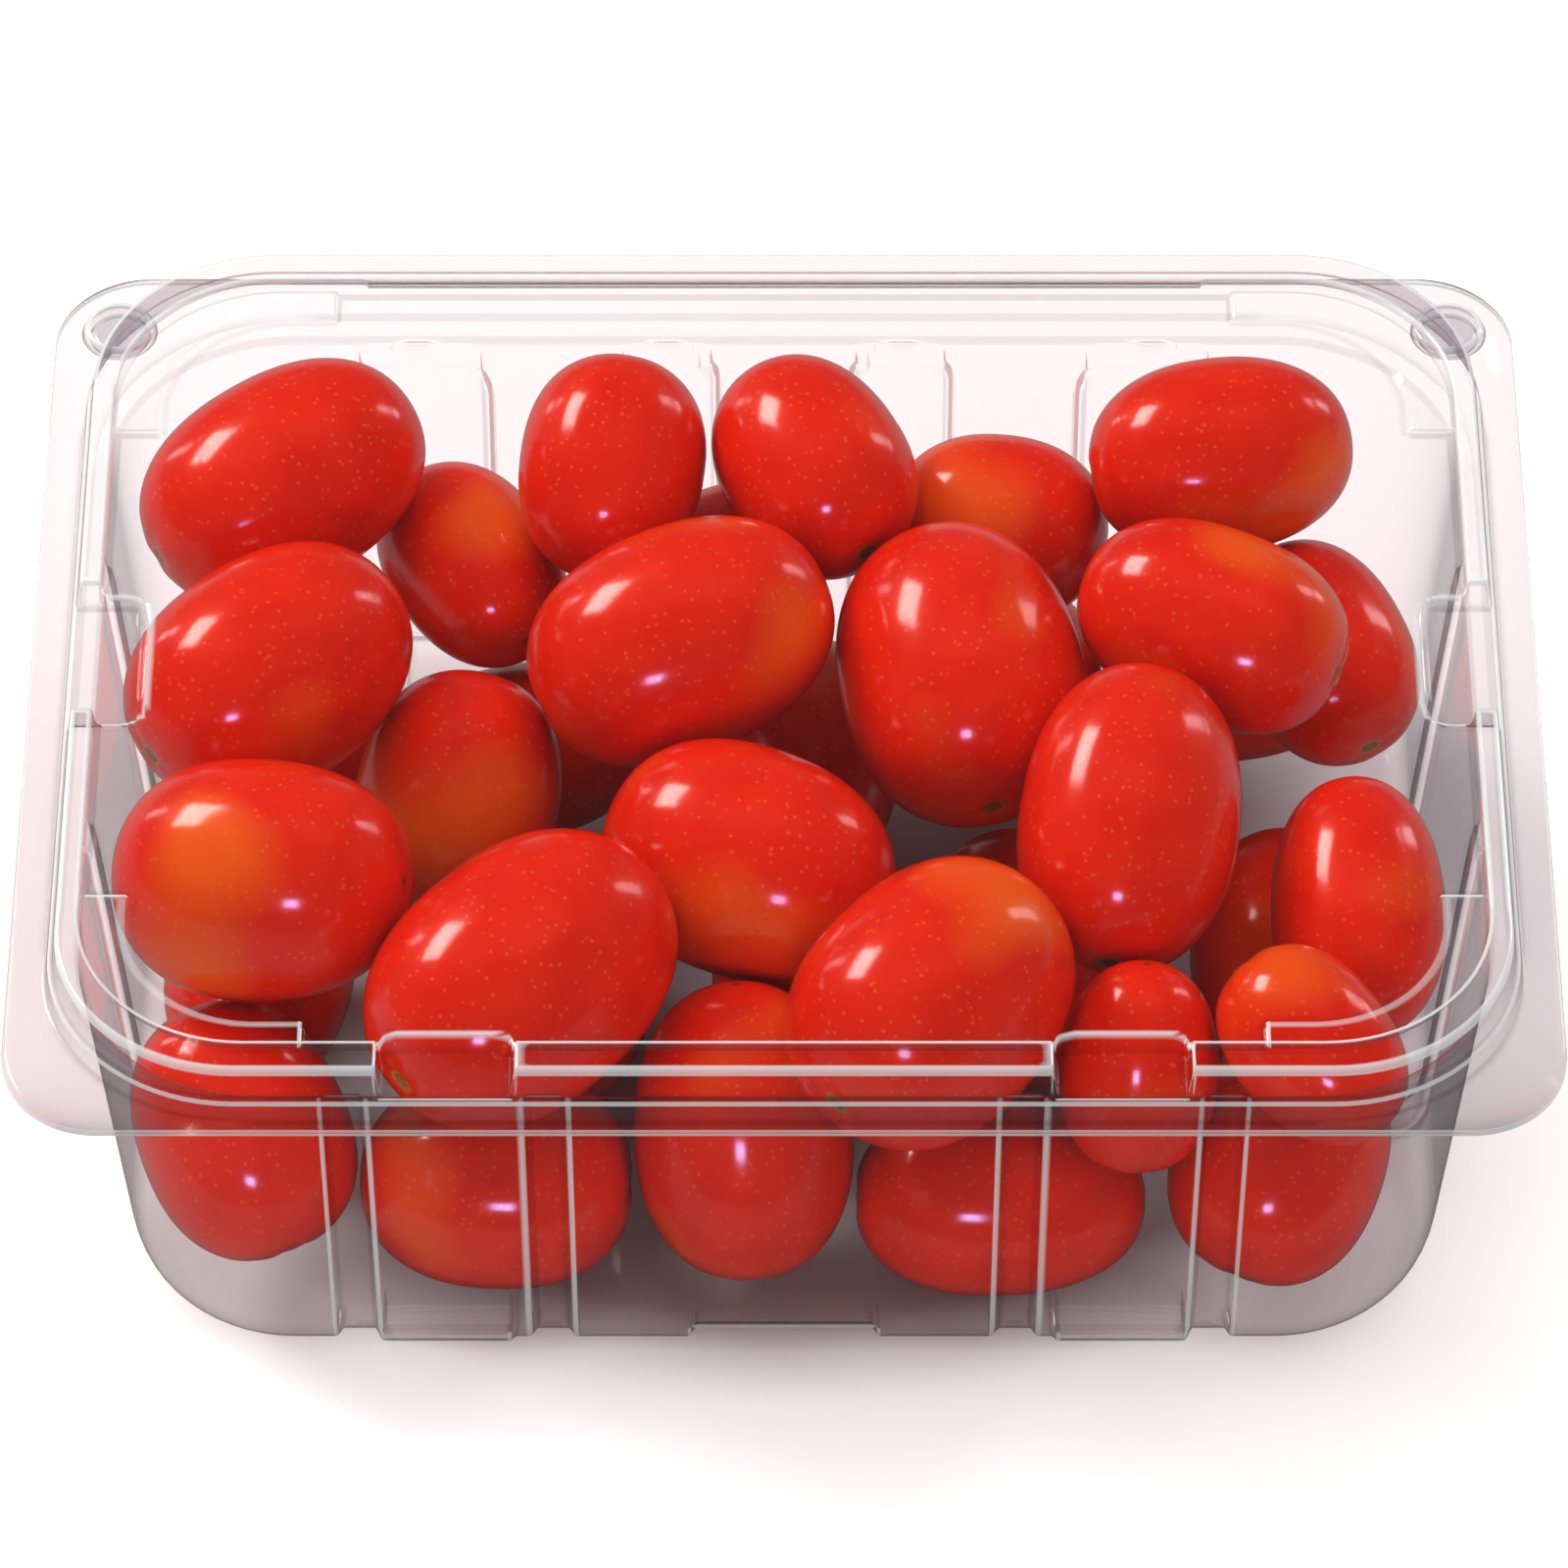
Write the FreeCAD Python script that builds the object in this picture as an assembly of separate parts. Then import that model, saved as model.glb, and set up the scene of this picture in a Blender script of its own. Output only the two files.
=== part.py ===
import FreeCAD, Part
import math
import os

# Clear clamshell pack for baby plum tomatoes, in millimetres.
# Z points up from the table, X runs along the pack, -Y is its front, and the fold is at the rear edge.
# The origin is at the middle of the base.

# Sheet and flange
sheet = 0.5                     # wall of the formed plastic
flange_length = 165.0
flange_width = 125.0
flange_corner = 10.5            # plan radius of the flange's corners
flange_height = 52.0            # from the table to the plane where lid and tub meet

# Tub
rim_length = 151.0              # opening at the foot of the rim's shoulder
rim_width = 111.0
rim_corner = 20.0
shoulder_drop = 2.4             # height of the sloping shoulder under the flange
shoulder_reach = 2.0            # how far the shoulder leans out
wall_slope = 3.8                # how far each wall leans in from shoulder to base
base_round = 7.0                # round between wall and base
flute_depth = 0.9
flute_width = 4.2
flute_inner_place = 25.3        # middle of the two inner flutes, from the pack's middle
flute_outer_place = 46.6
flute_foot_reach = 5.5          # how far a flute runs on under the base
side_flute_place = 19.0
rear_panel_width = 15.6         # dome-topped panels of the rear wall
rear_panel_place = 41.7
rear_inner_panel_width = 10.8
rear_inner_panel_place = 13.3
rear_panel_depth = 0.7
rear_panel_top = 49.0
foot_width = 14.6
foot_place = 37.0
foot_reach = 9.0                # how far a foot runs under the base
foot_height = 4.5               # how far a foot runs up the wall
foot_proud = 0.5
slot_width = 20.0               # recess at the middle of the front base edge
slot_depth = 1.1
slot_height = 5.0
slot_reach = 5.0
panel_length = 104.0            # raised middle of the base
panel_width = 66.0
panel_corner = 14.0
panel_rise = 1.2

# Lid
bead_height = 7.3               # crest above the meeting plane
bead_side_inset = 4.0           # flange left outside the bead at the pack's ends
bead_front_inset = 1.0          # the same along its front and rear
bead_corner = 21.0
bead_slope = 0.4                # lean of each of the bead's two tiers
bead_tier = 3.0                 # height of the lower tier
bead_tier_step = 0.5            # step in from the lower tier to the upper one
bead_bevel = 0.7                # bevel along the crest
lid_panel_height = 4.7          # top of the flat panel above the meeting plane
lid_panel_side_inset = 7.9
lid_panel_front_inset = 6.9
lid_panel_corner = 18.0
ledge_rise = 0.7                # corner ledges above the panel
ledge_side_width = 4.9
ledge_front_width = 4.0
ledge_corner = 14.0
ledge_start_x = 50.5            # where the ledges begin, from the pack's middle
ledge_start_y = 34.0
vent_floor = 3.4                # floor of the vent notches above the meeting plane
front_vent_width = 14.1
front_vent_place = 35.4
side_vent_width = 18.0
vent_reach = 4.6                # how far a notch runs in past the bead
vent_corner = 2.0

# Snap domes at the rear corners
dome_inset_side = 7.2           # middle of a dome from the flange's ends
dome_inset_rear = 8.6
lid_dome_radius = 4.3
lid_dome_height = 1.7
dome_slope = 0.7                # lean of a dome's wall
dome_clearance = 0.35           # between the nested domes

# Tomatoes
crop_gap = 0.25                 # left between a tomato and what it rests in
stem_share = 0.47               # stem half of a tomato's length
plumpness = 2.25                # 2 is an ellipse, more is fuller
scar_radius = 1.5
scar_depth = 0.5
packing = 0.60                  # share of the tub's room that the crop fills
settle_steps = 1200
settle_drop = 0.01              # fall of each tomato in the first step
settle_hold = 0.1               # pull of each tomato back to its own place and lie
settle_turn = 0.3               # how readily a push turns a tomato

# Each tomato: place across, deep and up as shares of the tub's inner half length, half width and height,
# then the compass angle and the tilt of its stem end in degrees, its length and its width.
crop = [
    (-0.74, 0.77, 0.77, 218, -5, 34, 24.5),
    (-0.765, 0.33, 0.77, 226, -4, 34, 26),
    (-0.79, -0.33, 0.77, 165, -14, 33, 27),
    (-0.46, -0.53, 0.8, 224, -6, 37, 28),
    (-0.25, 0.41, 0.8, 201, -16, 35, 26),
    (0.29, 0.28, 0.79, 284, -12, 35, 28),
    (0.23, -0.61, 0.79, 230, -6, 34, 28),
    (-0.1, -0.14, 0.7, 153, 0, 33, 26),
    (0.61, -0.26, 0.81, 268, -20, 35, 24.5),
    (0.91, -0.24, 0.76, 285, -16, 30, 19.5),
    (0.72, 0.34, 0.73, 339, -8, 31, 22.5),
    (0.88, 0.49, 0.63, 298, -8, 27, 20.5),
    (0.59, 0.77, 0.78, 187, -4, 30, 22.5),
    (0.08, 0.75, 0.73, 302, -10, 27, 21.5),
    (-0.26, 0.81, 0.84, 80, 28, 26, 21.5),
    (0.29, 0.79, 0.8, 175, 0, 25, 21.5),
    (-0.06, 0.82, 0.66, 30, 0, 25, 19.5),
    (-0.46, 0.25, 0.66, 250, -50, 27, 23.5),
    (-0.48, 0.92, 0.58, 120, 10, 27, 19.5),
    (0.78, -0.66, 0.68, 130, 20, 23.5, 17.5),
    (0.52, -0.66, 0.58, 265, -58, 23.5, 17.5),
    (-0.79, -0.77, 0.42, 300, -34, 29, 23.5),
    (-0.48, -0.79, 0.36, 358, 0, 30, 24.5),
    (-0.11, -0.75, 0.42, 270, -55, 33, 24.5),
    (0.27, -0.84, 0.31, 180, 0, 32, 21.5),
    (0.72, -0.84, 0.38, 245, -34, 28, 23.5),
    (-0.8, -0.12, 0.26, 84, 0, 32, 21.5),
    (0.36, -0.1, 0.26, 95, 0, 32, 22.5),
    (0.77, -0.1, 0.26, 88, 0, 32, 21.5),
    (-0.78, 0.62, 0.26, 95, 0, 33, 23.5),
    (-0.42, 0.62, 0.24, 20, 0, 31, 20.5),
    (0.02, 0.55, 0.26, 92, 0, 32, 21.5),
    (-0.36, -0.16, 0.24, 80, 0, 31, 20.5),
    (0.02, -0.2, 0.24, 100, 0, 29, 19.5),
    (0.72, 0.62, 0.26, 10, 0, 30, 20.5),
    (0.36, 0.66, 0.24, 60, 0, 29, 20.5),
]


def rounded_rectangle(length, width, corner, z):
    """Wire of a rectangle with arc corners, centred on the Z axis at height z."""
    hx = length / 2.0
    hy = width / 2.0
    cx = hx - corner
    cy = hy - corner
    lean = corner * math.sqrt(0.5)
    edges = []
    corners = [(1, 1), (-1, 1), (-1, -1), (1, -1)]
    for i, (sx, sy) in enumerate(corners):
        side = FreeCAD.Vector(sx * hx, sy * cy, z)
        end = FreeCAD.Vector(sx * cx, sy * hy, z)
        middle = FreeCAD.Vector(sx * (cx + lean), sy * (cy + lean), z)
        first, last = (side, end) if i % 2 == 0 else (end, side)
        edges.append(Part.Arc(first, middle, last).toShape())
        nx, ny = corners[(i + 1) % 4]
        if i % 2 == 0:
            start = FreeCAD.Vector(nx * cx, ny * hy, z)
        else:
            start = FreeCAD.Vector(nx * hx, ny * cy, z)
        edges.append(Part.LineSegment(last, start).toShape())
    return Part.Wire(edges)


def stack(sections):
    """Solid through rounded rectangles given as (length, width, corner, height), bottom first."""
    wires = [rounded_rectangle(*section) for section in sections]
    return Part.makeLoft(wires, True, True)


def plate(length, width, corner, z, thickness):
    """Flat plate with arc corners, its underside at height z."""
    face = Part.Face(rounded_rectangle(length, width, corner, z))
    return face.extrude(FreeCAD.Vector(0, 0, thickness))


def block(x0, x1, y0, y1, z0, z1):
    """Box between two corners."""
    corner = FreeCAD.Vector(min(x0, x1), min(y0, y1), min(z0, z1))
    return Part.makeBox(abs(x1 - x0), abs(y1 - y0), abs(z1 - z0), corner)


def joined(shapes):
    """One shape from several."""
    whole = shapes[0]
    if len(shapes) > 1:
        whole = whole.multiFuse(shapes[1:])
    return whole


def both_ways(places):
    """Each place and its mirror image."""
    return [sign * place for place in places for sign in (-1, 1)]


# Tub

def tub_block(inset):
    """Room inside the surface that lies inset below the tub's outer skin."""
    foot_length = rim_length - 2 * wall_slope - 2 * inset
    foot_across = rim_width - 2 * wall_slope - 2 * inset
    sections = [
        (foot_length, foot_across, rim_corner - wall_slope / 2 - inset, foot_proud + inset),
        (rim_length - 2 * inset, rim_width - 2 * inset, rim_corner - inset, flange_height - shoulder_drop),
        (rim_length + 2 * shoulder_reach - 2 * inset, rim_width + 2 * shoulder_reach - 2 * inset,
         rim_corner + shoulder_reach - inset, flange_height),
    ]
    body = stack(sections)
    low_edges = [e for e in body.Edges if e.BoundBox.ZMax < foot_proud + inset + 0.01]
    return body.makeFillet(base_round - inset, low_edges)


def wall_at(z, half_rim):
    """Distance of the wall's outer skin from the middle at height z, for one half rim size."""
    wall_height = flange_height - shoulder_drop
    return half_rim - wall_slope * (wall_height - z) / wall_height


def upright_patch(x, width, y_side, reach, z_top, domed):
    """Patch on the front (-1) or rear (+1) wall, as wide as given and running reach under the base."""
    outer = y_side * (rim_width / 2 + 1)
    inner = y_side * (wall_at(0, rim_width / 2) - base_round - reach)
    half = width / 2.0
    if not domed:
        return block(x - half, x + half, inner, outer, -1, z_top)
    body = block(x - half, x + half, inner, outer, -1, z_top - half)
    axis = FreeCAD.Vector(0, y_side, 0)
    start = FreeCAD.Vector(x, inner, z_top - half)
    dome = Part.makeCylinder(half, abs(outer - inner), start, axis)
    return body.fuse(dome)


def flute_patches(inset):
    """Upright flutes of the front wall and the two ends."""
    top = flange_height - shoulder_drop
    width = flute_width + 2 * inset
    reach = flute_foot_reach - base_round + inset
    patches = []
    for x in both_ways([flute_inner_place, flute_outer_place]):
        patches.append(upright_patch(x, width, -1, reach, top, False))
    outer = rim_length / 2 + 1
    inner = wall_at(0, rim_length / 2) - flute_foot_reach - inset
    for side in (-1, 1):
        for y in both_ways([side_flute_place]):
            patches.append(block(side * inner, side * outer, y - width / 2, y + width / 2, -1, top))
    return patches


def rear_patches(inset):
    """Dome-topped panels of the rear wall."""
    patches = []
    sizes = [(rear_panel_place, rear_panel_width), (rear_inner_panel_place, rear_inner_panel_width)]
    for place, width in sizes:
        for x in both_ways([place]):
            patches.append(upright_patch(x, width + 2 * inset, 1, inset, rear_panel_top + inset, True))
    return patches


def foot_patches(inset):
    """Four feet that stand proud of the base edge."""
    patches = []
    for y_side in (-1, 1):
        y_in = y_side * (wall_at(0, rim_width / 2) - foot_reach + inset)
        y_out = y_side * (rim_width / 2 + 1)
        for x in both_ways([foot_place]):
            half = foot_width / 2 - inset
            patches.append(block(x - half, x + half, y_in, y_out, -1, foot_height - inset))
    return patches


def slot_patch(inset):
    """Recess at the middle of the front base edge."""
    half = slot_width / 2 + inset
    y_in = -(wall_at(0, rim_width / 2) - slot_reach - inset)
    return block(-half, half, -rim_width / 2 - 1, y_in, -1, slot_height + inset)


def tub_form(inset):
    """Solid inside the tub's skin at the given depth, with its flutes, panels, feet and raised base."""
    form = tub_block(inset)
    flutes = joined(flute_patches(inset))
    form = form.cut(flutes).fuse(flutes.common(tub_block(inset + flute_depth)))
    panels = joined(rear_patches(inset))
    form = form.cut(panels).fuse(panels.common(tub_block(inset + rear_panel_depth)))
    slot = slot_patch(inset)
    form = form.cut(slot).fuse(slot.common(tub_block(inset + slot_depth)))
    feet = joined(foot_patches(inset))
    form = form.fuse(feet.common(tub_block(inset - foot_proud)))
    raised = plate(panel_length + 2 * inset, panel_width + 2 * inset, panel_corner + inset, -1,
                   1 + foot_proud + panel_rise + inset)
    return form.cut(raised)


def dome(radius, height, z_low, z_high, side):
    """Round dome with a sloping wall at a rear corner; its slope runs over the given height."""
    x = side * (flange_length / 2 - dome_inset_side)
    y = flange_width / 2 - dome_inset_rear
    slope = dome_slope / height
    low_radius = radius + slope * (flange_height - z_low)
    high_radius = radius - slope * (z_high - flange_height)
    return Part.makeCone(low_radius, high_radius, z_high - z_low, FreeCAD.Vector(x, y, z_low))


def make_tub():
    """Thermoformed tub with its flange and the two lower snap domes."""
    top = flange_height
    flange = plate(flange_length, flange_width, flange_corner, top - sheet, sheet)
    skin = [flange, tub_form(0)]
    hollow = [tub_form(sheet)]
    radius = lid_dome_radius - sheet - dome_clearance
    height = lid_dome_height - sheet - dome_clearance
    for side in (-1, 1):
        skin.append(dome(radius, lid_dome_height, top - sheet, top + height, side))
        hollow.append(dome(radius - sheet, lid_dome_height, top - 2 * sheet, top + height - sheet, side))
    mouth = plate(rim_length + 2 * shoulder_reach - 2 * sheet, rim_width + 2 * shoulder_reach - 2 * sheet,
                  rim_corner + shoulder_reach - sheet, top, bead_height)
    hollow.append(mouth)
    return joined(skin).cut(hollow).removeSplitter()


# Lid

def lid_block(inset, drop):
    """Room under the bead's outer skin with its crest lowered by drop, at a depth below the skin."""
    length = flange_length - 2 * bead_side_inset - 2 * inset
    width = flange_width - 2 * bead_front_inset - 2 * inset
    corner = bead_corner - inset
    top = bead_height - drop - inset
    step = min(bead_tier, top - sheet)

    def section(lean, height):
        return (length - 2 * lean, width - 2 * lean, corner - lean, flange_height + height)

    sections = [section(0, -2 * inset), section(bead_slope, step)]
    if top > bead_tier + bead_tier_step + bead_bevel:
        lean = bead_slope + bead_tier_step
        sections.append(section(lean, step + sheet))
        sections.append(section(lean + bead_slope, top - bead_bevel))
        sections.append(section(lean + bead_slope + bead_bevel, top))
    else:
        sections.append(section(bead_slope + bead_tier_step, top))
    return stack(sections)


def lid_panel_patches(inset):
    """Outlines inside the bead: the whole of it, and the panel that the corner ledges leave."""
    low = flange_height
    tall = bead_height + 1
    length = flange_length - 2 * lid_panel_side_inset
    width = flange_width - 2 * lid_panel_front_inset
    whole = plate(length + 2 * inset, width + 2 * inset, lid_panel_corner + inset, low, tall)
    corners = []
    for sx in (-1, 1):
        for sy in (-1, 1):
            x0 = sx * (ledge_start_x + inset)
            y0 = sy * (ledge_start_y + inset)
            corners.append(block(x0, sx * flange_length, y0, sy * flange_width, low - 1, low + tall + 1))
    middle = plate(length - 2 * ledge_side_width + 2 * inset, width - 2 * ledge_front_width + 2 * inset,
                   ledge_corner + inset, low, tall)
    return whole, whole.cut(corners).fuse(middle)


def vent_patches(inset):
    """Notches across the bead: two at the front, one at each end."""
    low = flange_height
    tall = bead_height + 1
    patches = []
    depth = lid_panel_front_inset + vent_reach
    for x in both_ways([front_vent_place]):
        patch = plate(front_vent_width + 2 * inset, 2 * depth + 2 * inset, vent_corner + inset, low, tall)
        patch.translate(FreeCAD.Vector(x, -flange_width / 2, 0))
        patches.append(patch)
    depth = lid_panel_side_inset + vent_reach
    for side in (-1, 1):
        patch = plate(2 * depth + 2 * inset, side_vent_width + 2 * inset, vent_corner + inset, low, tall)
        patch.translate(FreeCAD.Vector(side * flange_length / 2, 0, 0))
        patches.append(patch)
    return patches


def lid_form(inset):
    """Solid inside the lid's skin at the given depth, with panel, ledges and vent notches."""
    form = lid_block(inset, 0)
    whole, middle = lid_panel_patches(inset)
    panel_drop = bead_height - lid_panel_height
    for patch, drop in ((whole, panel_drop - ledge_rise), (middle, panel_drop)):
        form = form.cut(patch).fuse(patch.common(lid_block(inset, drop)))
    vents = joined(vent_patches(inset))
    return form.cut(vents).fuse(vents.common(lid_block(inset, bead_height - vent_floor)))


def make_lid():
    """Thermoformed lid with its flange, bead, panel, vents and the two upper snap domes."""
    low = flange_height
    flange = plate(flange_length, flange_width, flange_corner, low, sheet)
    skin = [flange, lid_form(0)]
    hollow = [lid_form(sheet)]
    for side in (-1, 1):
        skin.append(dome(lid_dome_radius, lid_dome_height, low, low + lid_dome_height, side))
        hollow.append(dome(lid_dome_radius - sheet, lid_dome_height, low - sheet,
                           low + lid_dome_height - sheet, side))
    return joined(skin).cut(hollow).removeSplitter()


# Tomatoes

class Tomato:
    """Plum tomato as a pair of half superellipsoids of one width that meet at its girth."""

    def __init__(self, place, compass, tilt, length, width):
        self.x, self.y, self.z = place
        self.home = place
        self.stem_half = stem_share * length
        self.tip_half = length - self.stem_half
        self.radius = width / 2.0
        turn = math.radians(compass)
        rise = math.radians(tilt)
        self.axis = (math.cos(turn) * math.cos(rise), math.sin(turn) * math.cos(rise), math.sin(rise))
        self.home_axis = self.axis
        self.dual = plumpness / (plumpness - 1)

    def reach(self, direction):
        """Distance from the girth's middle to the tangent plane that faces a unit direction."""
        ax, ay, az = self.axis
        along = direction[0] * ax + direction[1] * ay + direction[2] * az
        half = self.stem_half if along > 0 else self.tip_half
        across = math.sqrt(max(0.0, 1.0 - along * along))
        return ((half * abs(along)) ** self.dual + (self.radius * across) ** self.dual) ** (1 / self.dual)

    def touch(self, direction):
        """Point of the skin, from the girth's middle, that lies furthest in a unit direction."""
        ax, ay, az = self.axis
        along = direction[0] * ax + direction[1] * ay + direction[2] * az
        half = self.stem_half if along > 0 else self.tip_half
        across = math.sqrt(max(1e-12, 1.0 - along * along))
        far = self.reach(direction)
        power = self.dual - 1
        lift = half * (half * abs(along) / far) ** power * (1 if along > 0 else -1)
        out = self.radius * (self.radius * across / far) ** power / across
        return (lift * ax + out * (direction[0] - along * ax),
                lift * ay + out * (direction[1] - along * ay),
                lift * az + out * (direction[2] - along * az))

    def draw_home(self, share):
        """Moves and turns the tomato a share of the way back to its own place and lie."""
        self.x += share * (self.home[0] - self.x)
        self.y += share * (self.home[1] - self.y)
        self.z += share * (self.home[2] - self.z)
        self.axis = unit([a + share * (h - a) for a, h in zip(self.axis, self.home_axis)])

    def push(self, direction, amount, point):
        """Moves the tomato along a unit direction and lets the push at a point of its skin turn it."""
        self.x += amount * direction[0]
        self.y += amount * direction[1]
        self.z += amount * direction[2]
        twist = cross(point, direction)
        swing = settle_turn * amount / (self.tip_half * self.radius)
        turned = cross(twist, self.axis)
        self.axis = unit([a + swing * t for a, t in zip(self.axis, turned)])


def cross(a, b):
    """Cross product of two vectors."""
    return (a[1] * b[2] - a[2] * b[1], a[2] * b[0] - a[0] * b[2], a[0] * b[1] - a[1] * b[0])


def tub_planes():
    """Inner tangent planes of the tub and the lid's panel, as unit normal and distance."""
    inset = sheet + max(flute_depth, rear_panel_depth)
    radius = rim_corner - wall_slope / 2 - inset
    low_round = base_round - inset
    half_x = wall_at(0, rim_length / 2) - inset
    half_y = wall_at(0, rim_width / 2) - inset
    lean = math.atan2(wall_slope, flange_height - shoulder_drop)
    floor = foot_proud + panel_rise + sheet
    planes = [((0.0, 0.0, -1.0), -floor), ((0.0, 0.0, 1.0), flange_height + lid_panel_height - sheet)]
    turns = 24
    for i in range(turns):
        turn = 2 * math.pi * i / turns
        for fall in (lean, math.radians(30), math.radians(60)):
            nx = math.cos(turn) * math.cos(fall)
            ny = math.sin(turn) * math.cos(fall)
            nz = -math.sin(fall)
            flat = math.cos(fall)
            edge = (half_x - radius) * abs(nx) + (half_y - radius) * abs(ny)
            if fall == lean:
                distance = edge + radius * flat
            else:
                distance = edge + (radius - low_round) * flat + low_round + (floor + low_round) * nz
            planes.append(((nx, ny, nz), distance))
    return planes


def unit(v):
    """Vector of length one along v."""
    size = math.sqrt(v[0] * v[0] + v[1] * v[1] + v[2] * v[2]) or 1.0
    return (v[0] / size, v[1] / size, v[2] / size)


def part_pair(first, second, guess):
    """Moves two tomatoes apart until they clear each other; returns the direction between them."""
    dx = second.x - first.x
    dy = second.y - first.y
    dz = second.z - first.z
    direction = guess or unit((dx, dy, dz))
    for _ in range(2):
        p = first.touch(direction)
        q = second.touch((-direction[0], -direction[1], -direction[2]))
        vx = dx + q[0] - p[0]
        vy = dy + q[1] - p[1]
        vz = dz + q[2] - p[2]
        along = vx * direction[0] + vy * direction[1] + vz * direction[2]
        pull = 1.0 / (first.radius + second.radius)
        direction = unit((direction[0] + pull * (vx - along * direction[0]),
                          direction[1] + pull * (vy - along * direction[1]),
                          direction[2] + pull * (vz - along * direction[2])))
    space = (dx * direction[0] + dy * direction[1] + dz * direction[2]
             - first.reach(direction) - second.reach((-direction[0], -direction[1], -direction[2])))
    if space < crop_gap:
        amount = (crop_gap - space) / 2.0
        back = (-direction[0], -direction[1], -direction[2])
        first.push(back, amount, first.touch(direction))
        second.push(direction, amount, second.touch(back))
    return direction


def keep_inside(tomato, planes):
    """Moves a tomato back inside every plane that it crosses."""
    for normal, distance in planes:
        over = (tomato.x * normal[0] + tomato.y * normal[1] + tomato.z * normal[2]
                + tomato.reach(normal) + crop_gap - distance)
        if over > 0:
            back = (-normal[0], -normal[1], -normal[2])
            tomato.push(back, over, tomato.touch(normal))


def settle(tomatoes):
    """Lets the crop sink step by step until it rests in the tub, with nothing overlapping."""
    planes = tub_planes()
    guesses = {}
    for step in range(settle_steps):
        share = max(0.0, 1.0 - step / (0.8 * settle_steps))
        fall = settle_drop * max(0.0, 1.0 - step / (0.93 * settle_steps))
        for tomato in tomatoes:
            tomato.draw_home(settle_hold * share)
            tomato.z -= fall
        for i, first in enumerate(tomatoes):
            for j in range(i + 1, len(tomatoes)):
                second = tomatoes[j]
                far = first.tip_half + second.tip_half + crop_gap
                if abs(first.x - second.x) > far or abs(first.y - second.y) > far:
                    continue
                if abs(first.z - second.z) > far:
                    continue
                guesses[i, j] = part_pair(first, second, guesses.get((i, j)))
        for tomato in tomatoes:
            keep_inside(tomato, planes)


def tub_room():
    """Room inside the tub up to the meeting plane."""
    corner_loss = (4 - math.pi) * rim_corner ** 2
    area = (rim_length - wall_slope) * (rim_width - wall_slope) - corner_loss
    return area * (flange_height - foot_proud - panel_rise - sheet)


def choose_crop():
    """Tomatoes from the list, as many as fill their share of the tub's room."""
    half_x = wall_at(flange_height / 2, rim_length / 2) - sheet
    half_y = wall_at(flange_height / 2, rim_width / 2) - sheet
    tomatoes = []
    room = packing * tub_room()
    for across, deep, up, compass, tilt, length, width in crop:
        room -= math.pi / 6 * length * width ** 2
        if room < 0:
            break
        place = (across * half_x, deep * half_y, up * flange_height)
        tomatoes.append(Tomato(place, compass, tilt, length, width))
    return tomatoes


def tomato_profile(tomato):
    """Closed half outline of a tomato in the XZ plane, stem up, with the hollow of its stem scar."""
    def curve(half, start, steps):
        points = []
        for i in range(steps + 1):
            angle = start + (math.pi / 2 - start) * i / steps
            height = half * math.sin(angle) ** (2 / plumpness)
            out = tomato.radius * max(0.0, math.cos(angle)) ** (2 / plumpness)
            points.append(FreeCAD.Vector(out, 0, height))
        return points

    steps = 8
    upper = curve(tomato.stem_half, 0.0, steps)
    scar_share = (scar_radius / tomato.radius) ** plumpness
    scar_height = tomato.stem_half * (1 - scar_share) ** (1 / plumpness)
    upper = [p for p in upper if p.x > 1.6 * scar_radius]
    upper.append(FreeCAD.Vector(scar_radius, 0, scar_height))
    lower = [FreeCAD.Vector(p.x, 0, -p.z) for p in curve(tomato.tip_half, 0.0, steps)]
    outline = Part.BSplineCurve()
    points = list(reversed(upper)) + lower[1:]
    outline.interpolate(points)
    scar_floor = FreeCAD.Vector(0, 0, scar_height - scar_depth)
    middle = FreeCAD.Vector(scar_radius * 0.7, 0, scar_height - scar_depth * 0.55)
    scar = Part.Arc(scar_floor, middle, points[0])
    axis = Part.LineSegment(points[-1], scar_floor)
    return Part.Wire([scar.toShape(), outline.toShape(), axis.toShape()])


def make_tomato(tomato):
    """Solid tomato with its stem end turned the way it lies."""
    face = Part.Face(tomato_profile(tomato))
    solid = face.revolve(FreeCAD.Vector(0, 0, 0), FreeCAD.Vector(0, 0, 1), 360)
    turn = FreeCAD.Rotation(FreeCAD.Vector(0, 0, 1), FreeCAD.Vector(*tomato.axis))
    solid.Placement = FreeCAD.Placement(FreeCAD.Vector(tomato.x, tomato.y, tomato.z), turn)
    return solid


def save(shape, name):
    """Writes one node as a STEP file."""
    solid = shape.Solids[0] if len(shape.Solids) == 1 else shape
    solid.exportStep("parts/" + name + ".step")
    print(name, len(shape.Solids), round(shape.Volume, 1), shape.isValid())


def main():
    os.makedirs("parts", exist_ok=True)
    save(make_tub(), "tub")
    save(make_lid(), "lid")
    tomatoes = choose_crop()
    settle(tomatoes)
    for number, tomato in enumerate(tomatoes, 1):
        save(make_tomato(tomato), "tomato_%02d" % number)


main()
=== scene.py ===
"""Clear clamshell pack of baby plum tomatoes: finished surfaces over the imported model."""

import logging
import math
from dataclasses import dataclass, field
from enum import Enum

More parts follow.
